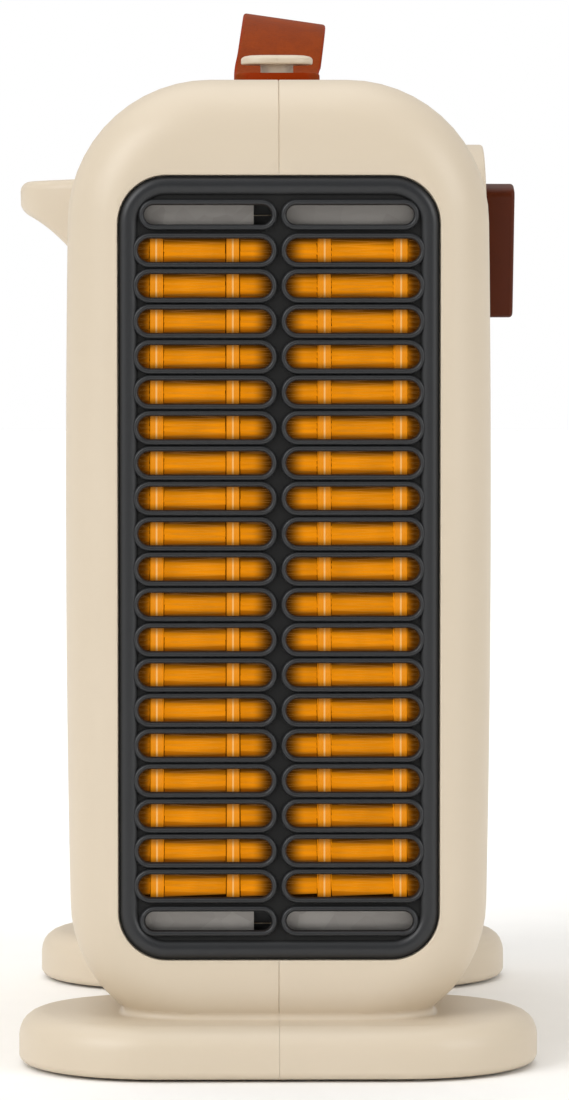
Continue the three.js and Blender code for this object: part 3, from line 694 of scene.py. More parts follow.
outline = round_rectangle(grille_tree, size["Width"], size["Height"], size["Corner"], 14)
last_row = add(grille_tree, "ShaderNodeMath", {0: size["Rows"], 1: 1.0}, operation="SUBTRACT")
rows_height = add(grille_tree, "ShaderNodeMath", {0: last_row, 1: size["Row Pitch"]}, operation="MULTIPLY")
lowest = add(grille_tree, "ShaderNodeMath", {0: rows_height, 1: -0.5}, operation="MULTIPLY")
last_column = add(grille_tree, "ShaderNodeMath", {0: size["Columns"], 1: 1.0}, operation="SUBTRACT")
columns_width = add(grille_tree, "ShaderNodeMath", {
    0: last_column, 1: size["Column Pitch"]
}, operation="MULTIPLY")
leftmost = add(grille_tree, "ShaderNodeMath", {0: columns_width, 1: -0.5}, operation="MULTIPLY")
rows = add(grille_tree, "GeometryNodeMeshLine", {
    "Count": size["Rows"],
    "Start Location": add(grille_tree, "ShaderNodeCombineXYZ", {"Y": lowest}),
    "Offset": add(grille_tree, "ShaderNodeCombineXYZ", {"Y": size["Row Pitch"]}),
})
columns = add(grille_tree, "GeometryNodeMeshLine", {
    "Count": size["Columns"],
    "Start Location": add(grille_tree, "ShaderNodeCombineXYZ", {"X": leftmost}),
    "Offset": add(grille_tree, "ShaderNodeCombineXYZ", {"X": size["Column Pitch"]}),
})
spread = add(grille_tree, "GeometryNodeInstanceOnPoints", {"Points": rows, "Instance": columns})
places = add(grille_tree, "GeometryNodeRealizeInstances", {"Geometry": spread}).outputs[0]

# The first and last rows have smaller slots, which stand a little nearer the web.
across = add(grille_tree, "ShaderNodeSeparateXYZ", {0: add(grille_tree, "GeometryNodeInputPosition")})
highest = add(grille_tree, "ShaderNodeMath", {0: lowest, 1: -1.0}, operation="MULTIPLY")
reach = add(grille_tree, "ShaderNodeMath", {0: highest, 1: 1.0 * MM}, operation="SUBTRACT")
off_middle = add(grille_tree, "ShaderNodeMath", {0: across.outputs["Y"]}, operation="ABSOLUTE")
is_end = add(grille_tree, "FunctionNodeCompare", {
    0: off_middle, 1: reach
}, data_type="FLOAT", operation="GREATER_THAN").outputs[0]
is_middle = add(grille_tree, "FunctionNodeBooleanMath", {0: is_end}, operation="NOT").outputs[0]
towards_web = add(grille_tree, "ShaderNodeMath", {0: across.outputs["X"]}, operation="SIGN")
outwards = add(grille_tree, "ShaderNodeMath", {0: towards_web, 1: size["End Shift"]}, operation="MULTIPLY")
inwards = add(grille_tree, "ShaderNodeMath", {0: outwards, 1: -1.0}, operation="MULTIPLY")
end_shift = add(grille_tree, "ShaderNodeCombineXYZ", {"X": inwards})
middle_curves = slots_and_beads(size["Slot Width"], size["Slot Height"])
end_curves = slots_and_beads(size["End Slot Width"], size["End Slot Height"])
laid = []
for middle_curve, end_curve in zip(middle_curves, end_curves):
    middle = add(grille_tree, "GeometryNodeInstanceOnPoints", {
        "Points": places, "Selection": is_middle, "Instance": middle_curve
    }).outputs[0]
    moved = add(grille_tree, "GeometryNodeSetPosition", {
        "Geometry": places, "Selection": is_end, "Offset": end_shift.outputs[0]
    }).outputs[0]
    ends = add(grille_tree, "GeometryNodeInstanceOnPoints", {
        "Points": moved, "Selection": is_end, "Instance": end_curve
    }).outputs[0]
    both = add(grille_tree, "GeometryNodeJoinGeometry")
    grille_tree.links.new(ends, both.inputs[0])
    grille_tree.links.new(middle, both.inputs[0])
    laid.append(add(grille_tree, "GeometryNodeRealizeInstances", {"Geometry": both.outputs[0]}).outputs[0])

holes = add(grille_tree, "GeometryNodeJoinGeometry")
grille_tree.links.new(outline, holes.inputs[0])
grille_tree.links.new(laid[0], holes.inputs[0])
sheet = add(grille_tree, "GeometryNodeFillCurve", {"Curve": holes.outputs[0]}).outputs[0]
below = add(grille_tree, "ShaderNodeMath", {0: size["Thickness"], 1: -1.0}, operation="MULTIPLY")
down = add(grille_tree, "ShaderNodeCombineXYZ", {"Z": below})
back = add(grille_tree, "GeometryNodeTransform", {"Geometry": sheet, "Translation": down}).outputs[0]
raised = add(grille_tree, "GeometryNodeExtrudeMesh", {
    "Mesh": back, "Offset": (0, 0, 1), "Offset Scale": size["Thickness"], "Individual": False
}).outputs[0]
plate = add(grille_tree, "GeometryNodeJoinGeometry")
grille_tree.links.new(raised, plate.inputs[0])
grille_tree.links.new(add(grille_tree, "GeometryNodeFlipFaces", {"Mesh": back}).outputs[0], plate.inputs[0])
closed_plate = add(grille_tree, "GeometryNodeMergeByDistance", {"Geometry": plate, "Distance": 0.001 * MM})


def bead(tree, curve, half_width, height, count):
    """A raised bead with an oval section that follows a curve."""
    level = add(tree, "GeometryNodeSetCurveNormal", {"Curve": curve}, mode="Z_UP")
    round_section = add(tree, "GeometryNodeCurvePrimitiveCircle", {"Resolution": count, "Radius": 1.0})
    flat = add(tree, "ShaderNodeCombineXYZ", {"X": half_width, "Y": height, "Z": 1.0})
    section = add(tree, "GeometryNodeTransform", {"Geometry": round_section, "Scale": flat})
    return add(tree, "GeometryNodeCurveToMesh", {"Curve": level, "Profile Curve": section}).outputs[0]


border_half = size["Border Half Width"]
border_width = add(grille_tree, "ShaderNodeMath", {0: border_half, 1: 2.0}, operation="MULTIPLY")
border_path = round_rectangle(
    grille_tree,
    add(grille_tree, "ShaderNodeMath", {0: size["Width"], 1: border_width}, operation="SUBTRACT"),
    add(grille_tree, "ShaderNodeMath", {0: size["Height"], 1: border_width}, operation="SUBTRACT"),
    add(grille_tree, "ShaderNodeMath", {0: size["Corner"], 1: border_half}, operation="SUBTRACT"),
    14,
)
sink = add(grille_tree, "ShaderNodeMath", {0: size["Border Sink"], 1: -1.0}, operation="MULTIPLY")
sunk = add(grille_tree, "ShaderNodeCombineXYZ", {"Z": sink})
border = add(grille_tree, "GeometryNodeTransform", {
    "Geometry": bead(grille_tree, border_path, size["Border Half Width"], size["Border Height"], 28),
    "Translation": sunk.outputs[0],
})
whole = add(grille_tree, "GeometryNodeJoinGeometry")
for part in (
    bead(grille_tree, laid[1], size["Rim Half Width"], size["Rim Height"], 10),
    bead(grille_tree, laid[2], size["Shoulder Half Width"], size["Shoulder Height"], 16),
    border.outputs[0],
    closed_plate.outputs[0],
):
    grille_tree.links.new(part, whole.inputs[0])
solid = add(grille_tree, "GeometryNodeRealizeInstances", {"Geometry": whole.outputs[0]})
coated = add(grille_tree, "GeometryNodeSetMaterial", {"Geometry": solid, "Material": size["Material"]})
add(grille_tree, "NodeGroupOutput", {"Geometry": coated.outputs[0]})


def grown(name, tree, values):
    """The plain mesh that a node tree gives for these values of its named inputs."""
    made = bpy.data.objects.new(name, bpy.data.meshes.new(name))
    scene.collection.objects.link(made)
    modifier = made.modifiers.new("shape", "NODES")
    modifier.node_group = tree
    for item in tree.interface.items_tree:
        if item.item_type == "SOCKET" and item.in_out == "INPUT" and item.name in values:
            modifier[item.identifier] = values[item.name]
    return applied(made)


valley_depth = 1.5  # how far the plate between the crests lies behind their tops


def grille_piece(name, node, sign, material, values):
    """A grille in its place: its drawing plane is stood up so that its front looks out of the body."""
    low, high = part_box(node)
    made = grown(name, grille_tree, {
        "Width": high[0] - low[0], "Height": high[2] - low[2], "Material": material, **values
    })
    outer_y = low[1] if sign < 0 else high[1]
    stand = Euler((math.pi / 2, 0, 0)).to_matrix().to_4x4()
    turn = Euler((0, 0, 0 if sign < 0 else math.pi)).to_matrix().to_4x4()
    made.data.transform(turn @ stand)
    valley_y = outer_y - sign * valley_depth * MM
    made.data.transform(Matrix.Translation((0, valley_y, (low[2] + high[2]) / 2)))
    finished(made, material, 40)
    return made


front_grille = grille_piece("hot_air_grille", "front_grille", -1, satin_black_abs, {})
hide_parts("front_grille")
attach(front_grille, "root")

rear_grille = grille_piece("intake_grille", "rear_grille", 1, satin_black_abs, {
    "Rows": 18, "Columns": 1, "Slot Width": 0.078, "Slot Height": 0.0046, "End Slot Width": 0.078,
    "End Slot Height": 0.0046, "End Shift": 0.0,
})
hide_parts("rear_grille")
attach(rear_grille, "root")

# ---- Carrying strap -------------------------------------------------------------------------------
# One band of vegetable-tanned cowhide, 26 mm wide and 3.4 mm thick, with sanded and dyed edges. Each
# end has a button slot and lies flat over a post of the shells; between them the band arches up.

# Vegetable-tanned leather with a waxed finish: red-brown, cloudy, with a fine pebbled grain of about
# 0.8 mm and an open, lighter and more orange edge.
tanned_leather, tree, shader, place = surface("vegetable_tanned_leather")
cloud = add(tree, "ShaderNodeTexNoise", {"Vector": place, "Scale": 120.0, "Detail": 5.0, "Roughness": 0.65})
tint = add(tree, "ShaderNodeMix", {
    0: cloud.outputs[0], 6: linear("672406"), 7: linear("95400f")
}, data_type="RGBA")
pores = add(tree, "ShaderNodeTexVoronoi", {"Vector": place, "Scale": 1 / (0.8 * MM)})
dark = add(tree, "ShaderNodeMapRange", {
    "Value": pores.outputs["Distance"], "From Max": 0.5, "To Min": 0.86, "To Max": 1.0
})
speck = add(tree, "ShaderNodeMix", {
    0: 1.0, 6: tint.outputs[2], 7: dark.outputs[0]
}, data_type="RGBA", blend_type="MULTIPLY")
edge_share = add(tree, "ShaderNodeAttribute", attribute_name="edge")
skin = add(tree, "ShaderNodeMix", {
    0: edge_share.outputs["Fac"], 6: speck.outputs[2], 7: linear("882b02")
}, data_type="RGBA")
tree.links.new(skin.outputs[2], shader.inputs["Base Color"])
wax = add(tree, "ShaderNodeMapRange", {"Value": cloud.outputs[0], "To Min": 0.42, "To Max": 0.62})
tree.links.new(wax.outputs[0], shader.inputs["Roughness"])
relief = add(tree, "ShaderNodeBump", {
    "Height": pores.outputs["Distance"], "Strength": 0.25, "Distance": 0.15 * MM
})
tree.links.new(relief.outputs[0], shader.inputs["Normal"])
shader.inputs["IOR"].default_value = 1.45
shader.inputs["Specular IOR Level"].default_value = 0.06

strap_width = 26.0
strap_thickness = 3.4
pivot_z = in_mm(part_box("strap_end_front"))[0][2] + strap_thickness / 2
lean_starts, lean_run = 1.9, 4.0  # the arch starts to lean at this height over the pivot, and over this rise
lean = math.radians(8.2)
arch_half, arch_foot, arch_top = 36.5, 4.4, 19.3
strap_end_y = 62.0
strap_path = [(-strap_end_y, 0), (-58, 0), (-52, 0), (-47, 0), (-44, 0.1), (-41, 0.95), (-38.6, 2.5)]
for share in np.linspace(-1, 1, 41):
    strap_path.append((arch_half * share, arch_foot + (arch_top - arch_foot) * (1 - abs(share) ** 2.2)))
strap_path += [(-y, z) for y, z in strap_path[6::-1]]
strap_path = np.array(strap_path)
# the path is smoothed and laid out in even steps
run = np.concatenate([[0], np.cumsum(np.linalg.norm(np.diff(strap_path, axis=0), axis=1))])
even = np.linspace(0, run[-1], 121)
strap_line = np.stack([np.interp(even, run, strap_path[:, i]) for i in (0, 1)], axis=1)
for _ in range(3):
    strap_line[2:-2] = (strap_line[1:-3] + 2 * strap_line[2:-2] + strap_line[3:-1]) / 4

strap = Pieces()
strap_rings = []
sanded_edge = 0.9
half_thick = strap_thickness / 2
for i, (y, rise) in enumerate(strap_line):
    ahead, behind = strap_line[min(i + 1, 120)], strap_line[max(i - 1, 0)]
    along = (ahead - behind) / np.linalg.norm(ahead - behind)
    up = np.array((-along[1], along[0]))
    from_end = min(even[i], run[-1] - even[i])
    end_round = 4.0
    half = strap_width / 2
    if from_end < end_round:
        half -= end_round - math.sqrt(max(end_round**2 - (end_round - from_end) ** 2, 0)) * 0.98
    ring = []
    side, skin_up = half - sanded_edge, half_thick - sanded_edge
    corners = (
        (side, skin_up, 90, 0), (side, -skin_up, 0, -90),
        (-side, -skin_up, -90, -180), (-side, skin_up, 180, 90),
    )
    for corner_x, corner_up, first_angle, last_angle in corners:
        for x, lift in arc(corner_x, corner_up, sanded_edge, first_angle, last_angle, 4):
            point_y, point_z = y + up[0] * lift, rise + up[1] * lift
            tilt = lean * min(max(point_z - lean_starts, 0) / lean_run, 1.0)
            ring.append((
                x * math.cos(tilt) + point_z * math.sin(tilt), point_y,
                pivot_z + point_z * math.cos(tilt) - x * math.sin(tilt),
            ))
    strap_rings.append(ring)
strap.loft(strap_rings)
strap_object = strap.object("leather_strap", tanned_leather, 60)

hole_radius = post_radius + 0.5
slot_tools = Pieces()
for y in post_places:
    slot_tools.loft([
        np.stack([*arc(0, y, hole_radius, 0, 360, 33)[:-1].T, np.full(32, z)], axis=1)
        for z in (285.0, 305.0)
    ])
    towards = 1 if y < 0 else -1
    slot_tools.loft([
        np.array([
            (x, y + towards * step, z) for x, step in ((-0.6, 4.6), (0.6, 4.6), (0.6, 9.5), (-0.6, 9.5))
        ])
        for z in (285.0, 305.0)
    ])
tools_object = slot_tools.object("button_slots", tanned_leather)
difference = strap_object.modifiers.new("button_slots", "BOOLEAN")
difference.operation = "DIFFERENCE"
difference.solver = "EXACT"
difference.use_self = True
difference.object = tools_object
applied(strap_object)
bpy.data.objects.remove(tools_object)
strap_object.data.set_sharp_from_angle(angle=math.radians(50))
strap_mesh = strap_object.data
edge_values = strap_mesh.attributes.new("edge", "FLOAT", "POINT")
levels = []
for vertex in strap_mesh.vertices:
    x, y, z = (c / MM for c in vertex.co)
    rise = z - pivot_z
    tilt = lean * min(max(rise - lean_starts, 0) / lean_run, 1.0)
    flat_x = x * math.cos(tilt) - rise * math.sin(tilt)
    at_side = abs(flat_x) > strap_width / 2 - 0.45
    at_end = abs(y) > strap_end_y - 0.5
    levels.append(1.0 if at_side or at_end else 0.0)
edge_values.data.foreach_set("value", levels)
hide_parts("strap_arch", "strap_end_front", "strap_end_rear")
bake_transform(strap_object)


# ---- Heating element ------------------------------------------------------------------------------
# Four ceramic (PTC) heating bars in aluminium tubes stand upright in a galvanised frame. Folded aluminium ribbons
# are glued between them. Ribbons and bars carry a painted orange glow, bright behind the middle of each slot,
# with painted shade where it falls off towards the slats and the web.

# Thin aluminium with a painted orange glow: emission and an orange-tinted base colour, dimmed as painted shade
# behind the slats, near the web and at the outer ends. The glow is a fixed pattern that suits this scene's
# camera: its pitch is a little over the slots' 10.37 mm, so that its bright bands fall behind the slots from
# there. From much higher or lower they don't.
slot_pitch = 10.435
glow_zero = 12.9


def painted_glow_behind_slots(tree, height, brightest, darkest):
    """Painted glow by height: full behind each slot as the camera sees it, dimmed behind the slats as painted
    shade.
    """
    lifted = add(tree, "ShaderNodeMath", {0: height, 1: glow_zero * MM}, operation="ADD")
    row = add(tree, "ShaderNodeMath", {0: lifted, 1: 1 / (slot_pitch * MM)}, operation="MULTIPLY")
    in_row = add(tree, "ShaderNodeMath", {0: row, 1: 1.0}, operation="FLOORED_MODULO")
    centred = add(tree, "ShaderNodeMath", {0: in_row, 1: 0.5}, operation="SUBTRACT")
    off = add(tree, "ShaderNodeMath", {0: centred}, operation="ABSOLUTE")
    return add(tree, "ShaderNodeMapRange", {
        "Value": off, "From Min": 0.10, "From Max": 0.36, "To Min": brightest, "To Max": darkest
    }, interpolation_type="SMOOTHSTEP")


glowing_ribbon, tree, shader, place = surface("aluminium_ribbon_painted_glow")
spot = add(tree, "ShaderNodeSeparateXYZ", {0: place})
# painted glow (emission), dimmed as painted shade behind the slats, near the web and at the outer ends
band = painted_glow_behind_slots(tree, spot.outputs["Z"], 1.0, 0.16)
side = add(tree, "ShaderNodeMath", {0: spot.outputs["X"]}, operation="ABSOLUTE").outputs[0]
web = add(tree, "ShaderNodeMapRange", {
    "Value": side, "From Min": 1.5 * MM, "From Max": 8.0 * MM, "To Min": 0.1, "To Max": 1.0
}, interpolation_type="SMOOTHSTEP").outputs[0]
outer = add(tree, "ShaderNodeMapRange", {
    "Value": side, "From Min": 36.5 * MM, "From Max": 40.5 * MM, "To Min": 1.0, "To Max": 0.22
}, interpolation_type="SMOOTHSTEP").outputs[0]
patch = add(tree, "ShaderNodeTexNoise", {"Vector": place, "Scale": 90.0, "Detail": 3.0})
uneven = add(tree, "ShaderNodeMapRange", {"Value": patch, "To Min": 0.74, "To Max": 1.08}).outputs[0]
inner = add(tree, "ShaderNodeMath", {0: band, 1: web}, operation="MULTIPLY")
spread_out = add(tree, "ShaderNodeMath", {0: outer, 1: uneven}, operation="MULTIPLY")
painted_glow = add(tree, "ShaderNodeMath", {0: inner, 1: spread_out}, operation="MULTIPLY").outputs[0]
hue = add(tree, "ShaderNodeMix", {
    0: painted_glow, 6: linear("5a3408"), 7: linear("e08a0c")
}, data_type="RGBA")
tree.links.new(hue.outputs[2], shader.inputs["Emission Color"])
tree.links.new(painted_glow, shader.inputs["Emission Strength"])
# the aluminium's base colour is tinted orange-brown as part of the painted glow
shader.inputs["Base Color"].default_value = linear("6a4414")
shader.inputs["Metallic"].default_value = 0.6
shader.inputs["Roughness"].default_value = 0.5

bar_boxes = [in_mm(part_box(f"ptc_bar_{i}")) for i in range(1, 5)]
fold_pitch = 1.6
ribbon_thickness = 0.3
louvre_rise = 1.7
generator = np.random.default_rng(7)
for i in range(1, 6):
    low, high = in_mm(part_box(f"fin_strip_{i}"))
    heights = np.arange(low[2] + 0.3, high[2] - 0.5, fold_pitch / 2)
    sides = np.where(np.arange(len(heights)) % 2 == 0, low[0], high[0])
    sides = sides + generator.uniform(-0.06, 0.06, len(heights)) * (np.abs(sides) < 46)
    slack = generator.uniform(-0.08, 0.08, len(heights))
    ribbon = Pieces()
    half = ribbon_thickness / 2
    ribbon.loft([
        [
            (x, low[1], z - half), (x, low[1], z + half),
            (x, high[1], min(z + louvre_rise, high[2] - 0.2) + half),
            (x, high[1], min(z + louvre_rise, high[2] - 0.2) - half),
        ]
        for x, z in zip(sides, heights + slack)
    ])
    ribbon_object = ribbon.object(f"fin_ribbon_{i}", glowing_ribbon, 20)
    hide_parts(f"fin_strip_{i}")
    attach(ribbon_object, "root")

# Extruded aluminium bar faces with a painted orange glow (emission) that dims as painted shade behind the slats,
# and a fine middle rib painted paler as a painted highlight; the base colour is tinted orange as well.
painted_glow_bar, tree, shader, place = surface("aluminium_bar_painted_glow")
spot = add(tree, "ShaderNodeSeparateXYZ", {0: place})
band = painted_glow_behind_slots(tree, spot.outputs["Z"], 0.9, 0.12)
# painted highlight: the middle rib's glow is paler than the rest of the face
rib_painted_highlight = add(tree, "ShaderNodeMapRange", {
    "Value": spot.outputs["Y"], "From Min": -114.35 * MM, "From Max": -114.1 * MM,
    "To Min": 1.0, "To Max": 0.0,
}).outputs[0]
hue = add(tree, "ShaderNodeMix", {
    0: rib_painted_highlight, 6: linear("e2890c"), 7: linear("eab873")
}, data_type="RGBA")
tree.links.new(hue.outputs[2], shader.inputs["Emission Color"])
tree.links.new(band.outputs[0], shader.inputs["Emission Strength"])
draw_lines = add(tree, "ShaderNodeTexNoise", {"Vector": place, "Scale": 900.0, "Detail": 2.0})
gloss = add(tree, "ShaderNodeMapRange", {"Value": draw_lines.outputs[0], "To Min": 0.3, "To Max": 0.5})
tree.links.new(gloss.outputs[0], shader.inputs["Roughness"])
shader.inputs["Base Color"].default_value = linear("8a5a1c")
shader.inputs["Metallic"].default_value = 0.6

corner_cut, rib_half, rib_rise = 0.3, 0.2, 0.45
for i, (low, high) in enumerate(bar_boxes, 1):
    middle = (low[0] + high[0]) / 2
    front = low[1]
    section = [
        (low[0], high[1]), (high[0], high[1]), (high[0], front + corner_cut), (high[0] - corner_cut, front),
        (middle + rib_half + 0.1, front), (middle + rib_half, front - rib_rise),
        (middle - rib_half, front - rib_rise), (middle - rib_half - 0.1, front),
        (low[0] + corner_cut, front), (low[0], front + corner_cut),
    ]
    bar_piece = Pieces()
    bar_piece.loft([[(x, y, z) for x, y in section] for z in (low[2], low[2] + 0.4, high[2] - 0.4, high[2])])
    bar_object = bar_piece.object(f"heating_bar_{i}", painted_glow_bar, 25)
    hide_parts(f"ptc_bar_{i}")
    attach(bar_object, "root")

# ---- Dial grip ------------------------------------------------------------------------------------
# A narrow bar of brown phenolic-look plastic pressed on the thermostat's shaft. All its edges are
# eased by 1 mm and it stands 16 degrees off upright at rest.

# Moulded brown plastic with a satin skin: dark, reddish where its rounded edges thin out.
brown_plastic, tree, shader, place = surface("moulded_brown_plastic")
cloud = add(tree, "ShaderNodeTexNoise", {"Vector": place, "Scale": 60.0, "Detail": 3.0})
tint = add(tree, "ShaderNodeMix", {
    0: cloud.outputs[0], 6: linear("421804"), 7: linear("521f06")
}, data_type="RGBA")
tree.links.new(tint.outputs[2], shader.inputs["Base Color"])
grain = add(tree, "ShaderNodeTexNoise", {"Vector": place, "Scale": 1 / (0.5 * MM), "Detail": 2.0})
relief = add(tree, "ShaderNodeBump", {"Height": grain.outputs[0], "Strength": 0.05, "Distance": 0.1 * MM})
tree.links.new(relief.outputs[0], shader.inputs["Normal"])
shader.inputs["Roughness"].default_value = 0.4
shader.inputs["IOR"].default_value = 1.45
shader.inputs["Specular IOR Level"].default_value = 0.18

grip_low, grip_high = in_mm(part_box("dial_grip"))
grip_turn = math.radians(16)
grip_half_length, grip_half_width = 21.1, 5.0
grip_back, grip_front = grip_low[0], grip_high[0]
grip_middle = ((grip_low[1] + grip_high[1]) / 2, (grip_low[2] + grip_high[2]) / 2)
grip = Pieces()
grip_rings = []
grip_profile = [(0.5, grip_back), (0.1, grip_back + 0.15), (0.0, grip_back + 0.6)]
for angle in np.linspace(0, math.pi / 2, 6):
    grip_profile.append((1.2 * (1 - math.cos(angle)), grip_front - 1.2 * (1 - math.sin(angle))))
grip_profile.append((2.4, grip_front))
for inset, x in grip_profile:
    radius = max(2.6 - inset, 0.4)
    across, along = grip_half_width - inset - radius, grip_half_length - inset - radius
    plan = np.concatenate([
        arc(across, along, radius, 0, 90, 7), arc(-across, along, radius, 90, 180, 7),
        arc(-across, -along, radius, 180, 270, 7), arc(across, -along, radius, 270, 360, 7),
    ])
    turned_y = plan[:, 0] * math.cos(grip_turn) - plan[:, 1] * math.sin(grip_turn)
    turned_z = plan[:, 0] * math.sin(grip_turn) + plan[:, 1] * math.cos(grip_turn)
    grip_rings.append(np.stack([
        np.full(len(plan), x), grip_middle[0] + turned_y, grip_middle[1] + turned_z
    ], axis=1))
grip.loft(grip_rings)
grip_object = grip.object("dial_bar_grip", brown_plastic, 50)
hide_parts("dial_grip")
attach(grip_object, "dial")

# ---- Foot pads and cord gland ---------------------------------------------------------------------
# Four black rubber discs are pressed into the undersides of the feet. A rubber gland with a flange
# on each side of the rear wall guides the mains cord, which isn't part of this model.

# Black moulded rubber: matt, with a dusty grey bloom.
matt_rubber, tree, shader, place = surface("black_rubber")
bloom = add(tree, "ShaderNodeTexNoise", {"Vector": place, "Scale": 200.0, "Detail": 4.0})
tint = add(tree, "ShaderNodeMix", {
    0: bloom.outputs[0], 6: linear("141414"), 7: linear("262626")
}, data_type="RGBA")
tree.links.new(tint.outputs[2], shader.inputs["Base Color"])
relief = add(tree, "ShaderNodeBump", {"Height": bloom.outputs[0], "Strength": 0.1, "Distance": 0.1 * MM})
tree.links.new(relief.outputs[0], shader.inputs["Normal"])
shader.inputs["Roughness"].default_value = 0.8


def disc_rings(profile, centre, axis):
    """Rings of a turned piece round an axis (0 = X, 1 = Y, 2 = Z) from its [radius, place] profile."""
    rings = []
    for radius, level in profile:
        circle = arc(centre[0], centre[1], radius, 0, 360, 49)[:-1]
        columns = [circle[:, 0], circle[:, 1]]
        columns.insert(axis, np.full(len(circle), level))
        rings.append(np.stack(columns, axis=1))
    return rings


for end in ("front", "rear"):
    for side in ("left", "right"):
        low, high = in_mm(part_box(f"foot_pad_{end}_{side}"))
        centre = ((low[0] + high[0]) / 2, (low[1] + high[1]) / 2)
        radius = (high[0] - low[0]) / 2
        pad = Pieces()
        pad.loft(disc_rings([
            (radius - 2.2, 0.25), (radius - 1.9, 0.0), (radius - 0.35, 0.0),
            (radius, 0.35), (radius, high[2]),
        ], centre, 2))
        pad_object = pad.object(f"rubber_pad_{end}_{side}", matt_rubber)
        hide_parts(f"foot_pad_{end}_{side}")
        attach(pad_object, "root")

low, high = in_mm(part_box("cord_gland"))
gland_z = (low[2] + high[2]) / 2
flange = (high[0] - low[0]) / 2
gland = Pieces()
gland.loft(disc_rings([
    (3.6, low[1]), (flange, low[1]), (flange, low[1] + 2.8), (5.9, low[1] + 2.8), (5.9, 123.2),
    (flange, 123.2), (flange, 124.0), (flange - 0.5, 124.7), (6.2, 124.9), (5.6, high[1] - 0.2),
    (5.0, high[1]), (4.0, high[1]), (3.6, high[1] - 0.4),
], (0.0, gland_z), 1), capped=False, looped=True)
gland_object = gland.object("rubber_cord_gland", matt_rubber)
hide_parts("cord_gland")
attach(gland_object, "root")

# ---- Fuse links ------------------------------------------------------------------------------------
# In the notch of each front plate of the element a thin tinned copper wire links the bars.

# Tinned copper wire: bright, slightly uneven grey.
tinned_wire, tree, shader, place = surface("tinned_copper_wire")
tin = add(tree, "ShaderNodeTexNoise", {"Vector": place, "Scale": 1 / (0.8 * MM), "Detail": 2.0})
tint = add(tree, "ShaderNodeMix", {
    0: tin.outputs[0], 6: linear("8e8474"), 7: linear("b4ab9c")
}, data_type="RGBA")
tree.links.new(tint.outputs[2], shader.inputs["Base Color"])
shader.inputs["Metallic"].default_value = 0.7
shader.inputs["Roughness"].default_value = 0.35

frame_low, frame_high = in_mm(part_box("element_frame"))
notch_left, notch_right = -9.0, -0.6
for name, z in (("upper", frame_high[2] - 9.4), ("lower", frame_low[2] + 7.2)):
    link = Pieces()
    wire_y = frame_low[1] + 1.9
    link.loft(disc_rings([
        (0.08, notch_left), (0.18, notch_left + 0.2), (0.18, notch_right - 0.2), (0.08, notch_right)
    ], (wire_y, z), 0))
    link_object = link.object(f"fuse_link_{name}", tinned_wire)
    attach(link_object, "root")

# ---- Dust filter ----------------------------------------------------------------------------------
# Behind the intake lies a moulded nylon dust screen: a rim and a lattice of fine square threads.

# Dark moulded nylon: dull, and see-through only where its lattice is open.
filter_nylon, tree, shader, place = surface("moulded_nylon_screen")
dust = add(tree, "ShaderNodeTexNoise", {"Vector": place, "Scale": 70.0, "Detail": 4.0})
tint = add(tree, "ShaderNodeMix", {
    0: dust.outputs[0], 6: linear("232425"), 7: linear("3d3e40")
}, data_type="RGBA")
tree.links.new(tint.outputs[2], shader.inputs["Base Color"])
shader.inputs["Roughness"].default_value = 0.7

screen_tree = bpy.data.node_groups.new("lattice_screen", "GeometryNodeTree")
screen_tree.is_modifier = True
for name, kind, value in (
    ("Width", "NodeSocketFloat", 0.092),
    ("Height", "NodeSocketFloat", 0.202),
    ("Pitch", "NodeSocketFloat", 0.002),
    ("Thread", "NodeSocketFloat", 0.0005),
    ("Rim", "NodeSocketFloat", 0.0026),
    ("Material", "NodeSocketMaterial", filter_nylon),
):
    socket = screen_tree.interface.new_socket(name, in_out="INPUT", socket_type=kind)
    socket.default_value = value
screen_tree.interface.new_socket("Geometry", in_out="OUTPUT", socket_type="NodeSocketGeometry")
size = add(screen_tree, "NodeGroupInput").outputs
lattice = add(screen_tree, "GeometryNodeJoinGeometry")
for along, across in (("Width", "Height"), ("Height", "Width")):
    pitches = add(screen_tree, "ShaderNodeMath", {0: size[along], 1: size["Pitch"]}, operation="DIVIDE")
    count = add(screen_tree, "ShaderNodeMath", {0: pitches, 1: 1.0}, operation="ADD")
    start = add(screen_tree, "ShaderNodeMath", {0: size[along], 1: -0.5}, operation="MULTIPLY")
    axis, other = ("X", "Y") if along == "Width" else ("Y", "X")
    first = add(screen_tree, "ShaderNodeCombineXYZ", {axis: start})
    step = add(screen_tree, "ShaderNodeCombineXYZ", {axis: size["Pitch"]})
    line = add(screen_tree, "GeometryNodeMeshLine", {
        "Count": count, "Start Location": first.outputs[0], "Offset": step.outputs[0]
    })
    bar_size = add(screen_tree, "ShaderNodeCombineXYZ", {
        axis: size["Thread"], other: size[across], "Z": size["Thread"]
    })
    thread = add(screen_tree, "GeometryNodeMeshCube", {"Size": bar_size.outputs[0]})
    threads = add(screen_tree, "GeometryNodeInstanceOnPoints", {
        "Points": line.outputs[0], "Instance": thread.outputs[0]
    })
    screen_tree.links.new(threads.outputs[0], lattice.inputs[0])
edge_path = round_rectangle(
    screen_tree,
    add(screen_tree, "ShaderNodeMath", {0: size["Width"], 1: size["Rim"]}, operation="SUBTRACT"),
    add(screen_tree, "ShaderNodeMath", {0: size["Height"], 1: size["Rim"]}, operation="SUBTRACT"),
    2.0 * MM,
    4,
)
half_rim = add(screen_tree, "ShaderNodeMath", {0: size["Rim"], 1: 0.5}, operation="MULTIPLY")
screen_tree.links.new(bead(screen_tree, edge_path, half_rim, half_rim, 10), lattice.inputs[0])
solid = add(screen_tree, "GeometryNodeRealizeInstances", {"Geometry": lattice.outputs[0]})
coated = add(screen_tree, "GeometryNodeSetMaterial", {"Geometry": solid, "Material": size["Material"]})
add(screen_tree, "NodeGroupOutput", {"Geometry": coated.outputs[0]})

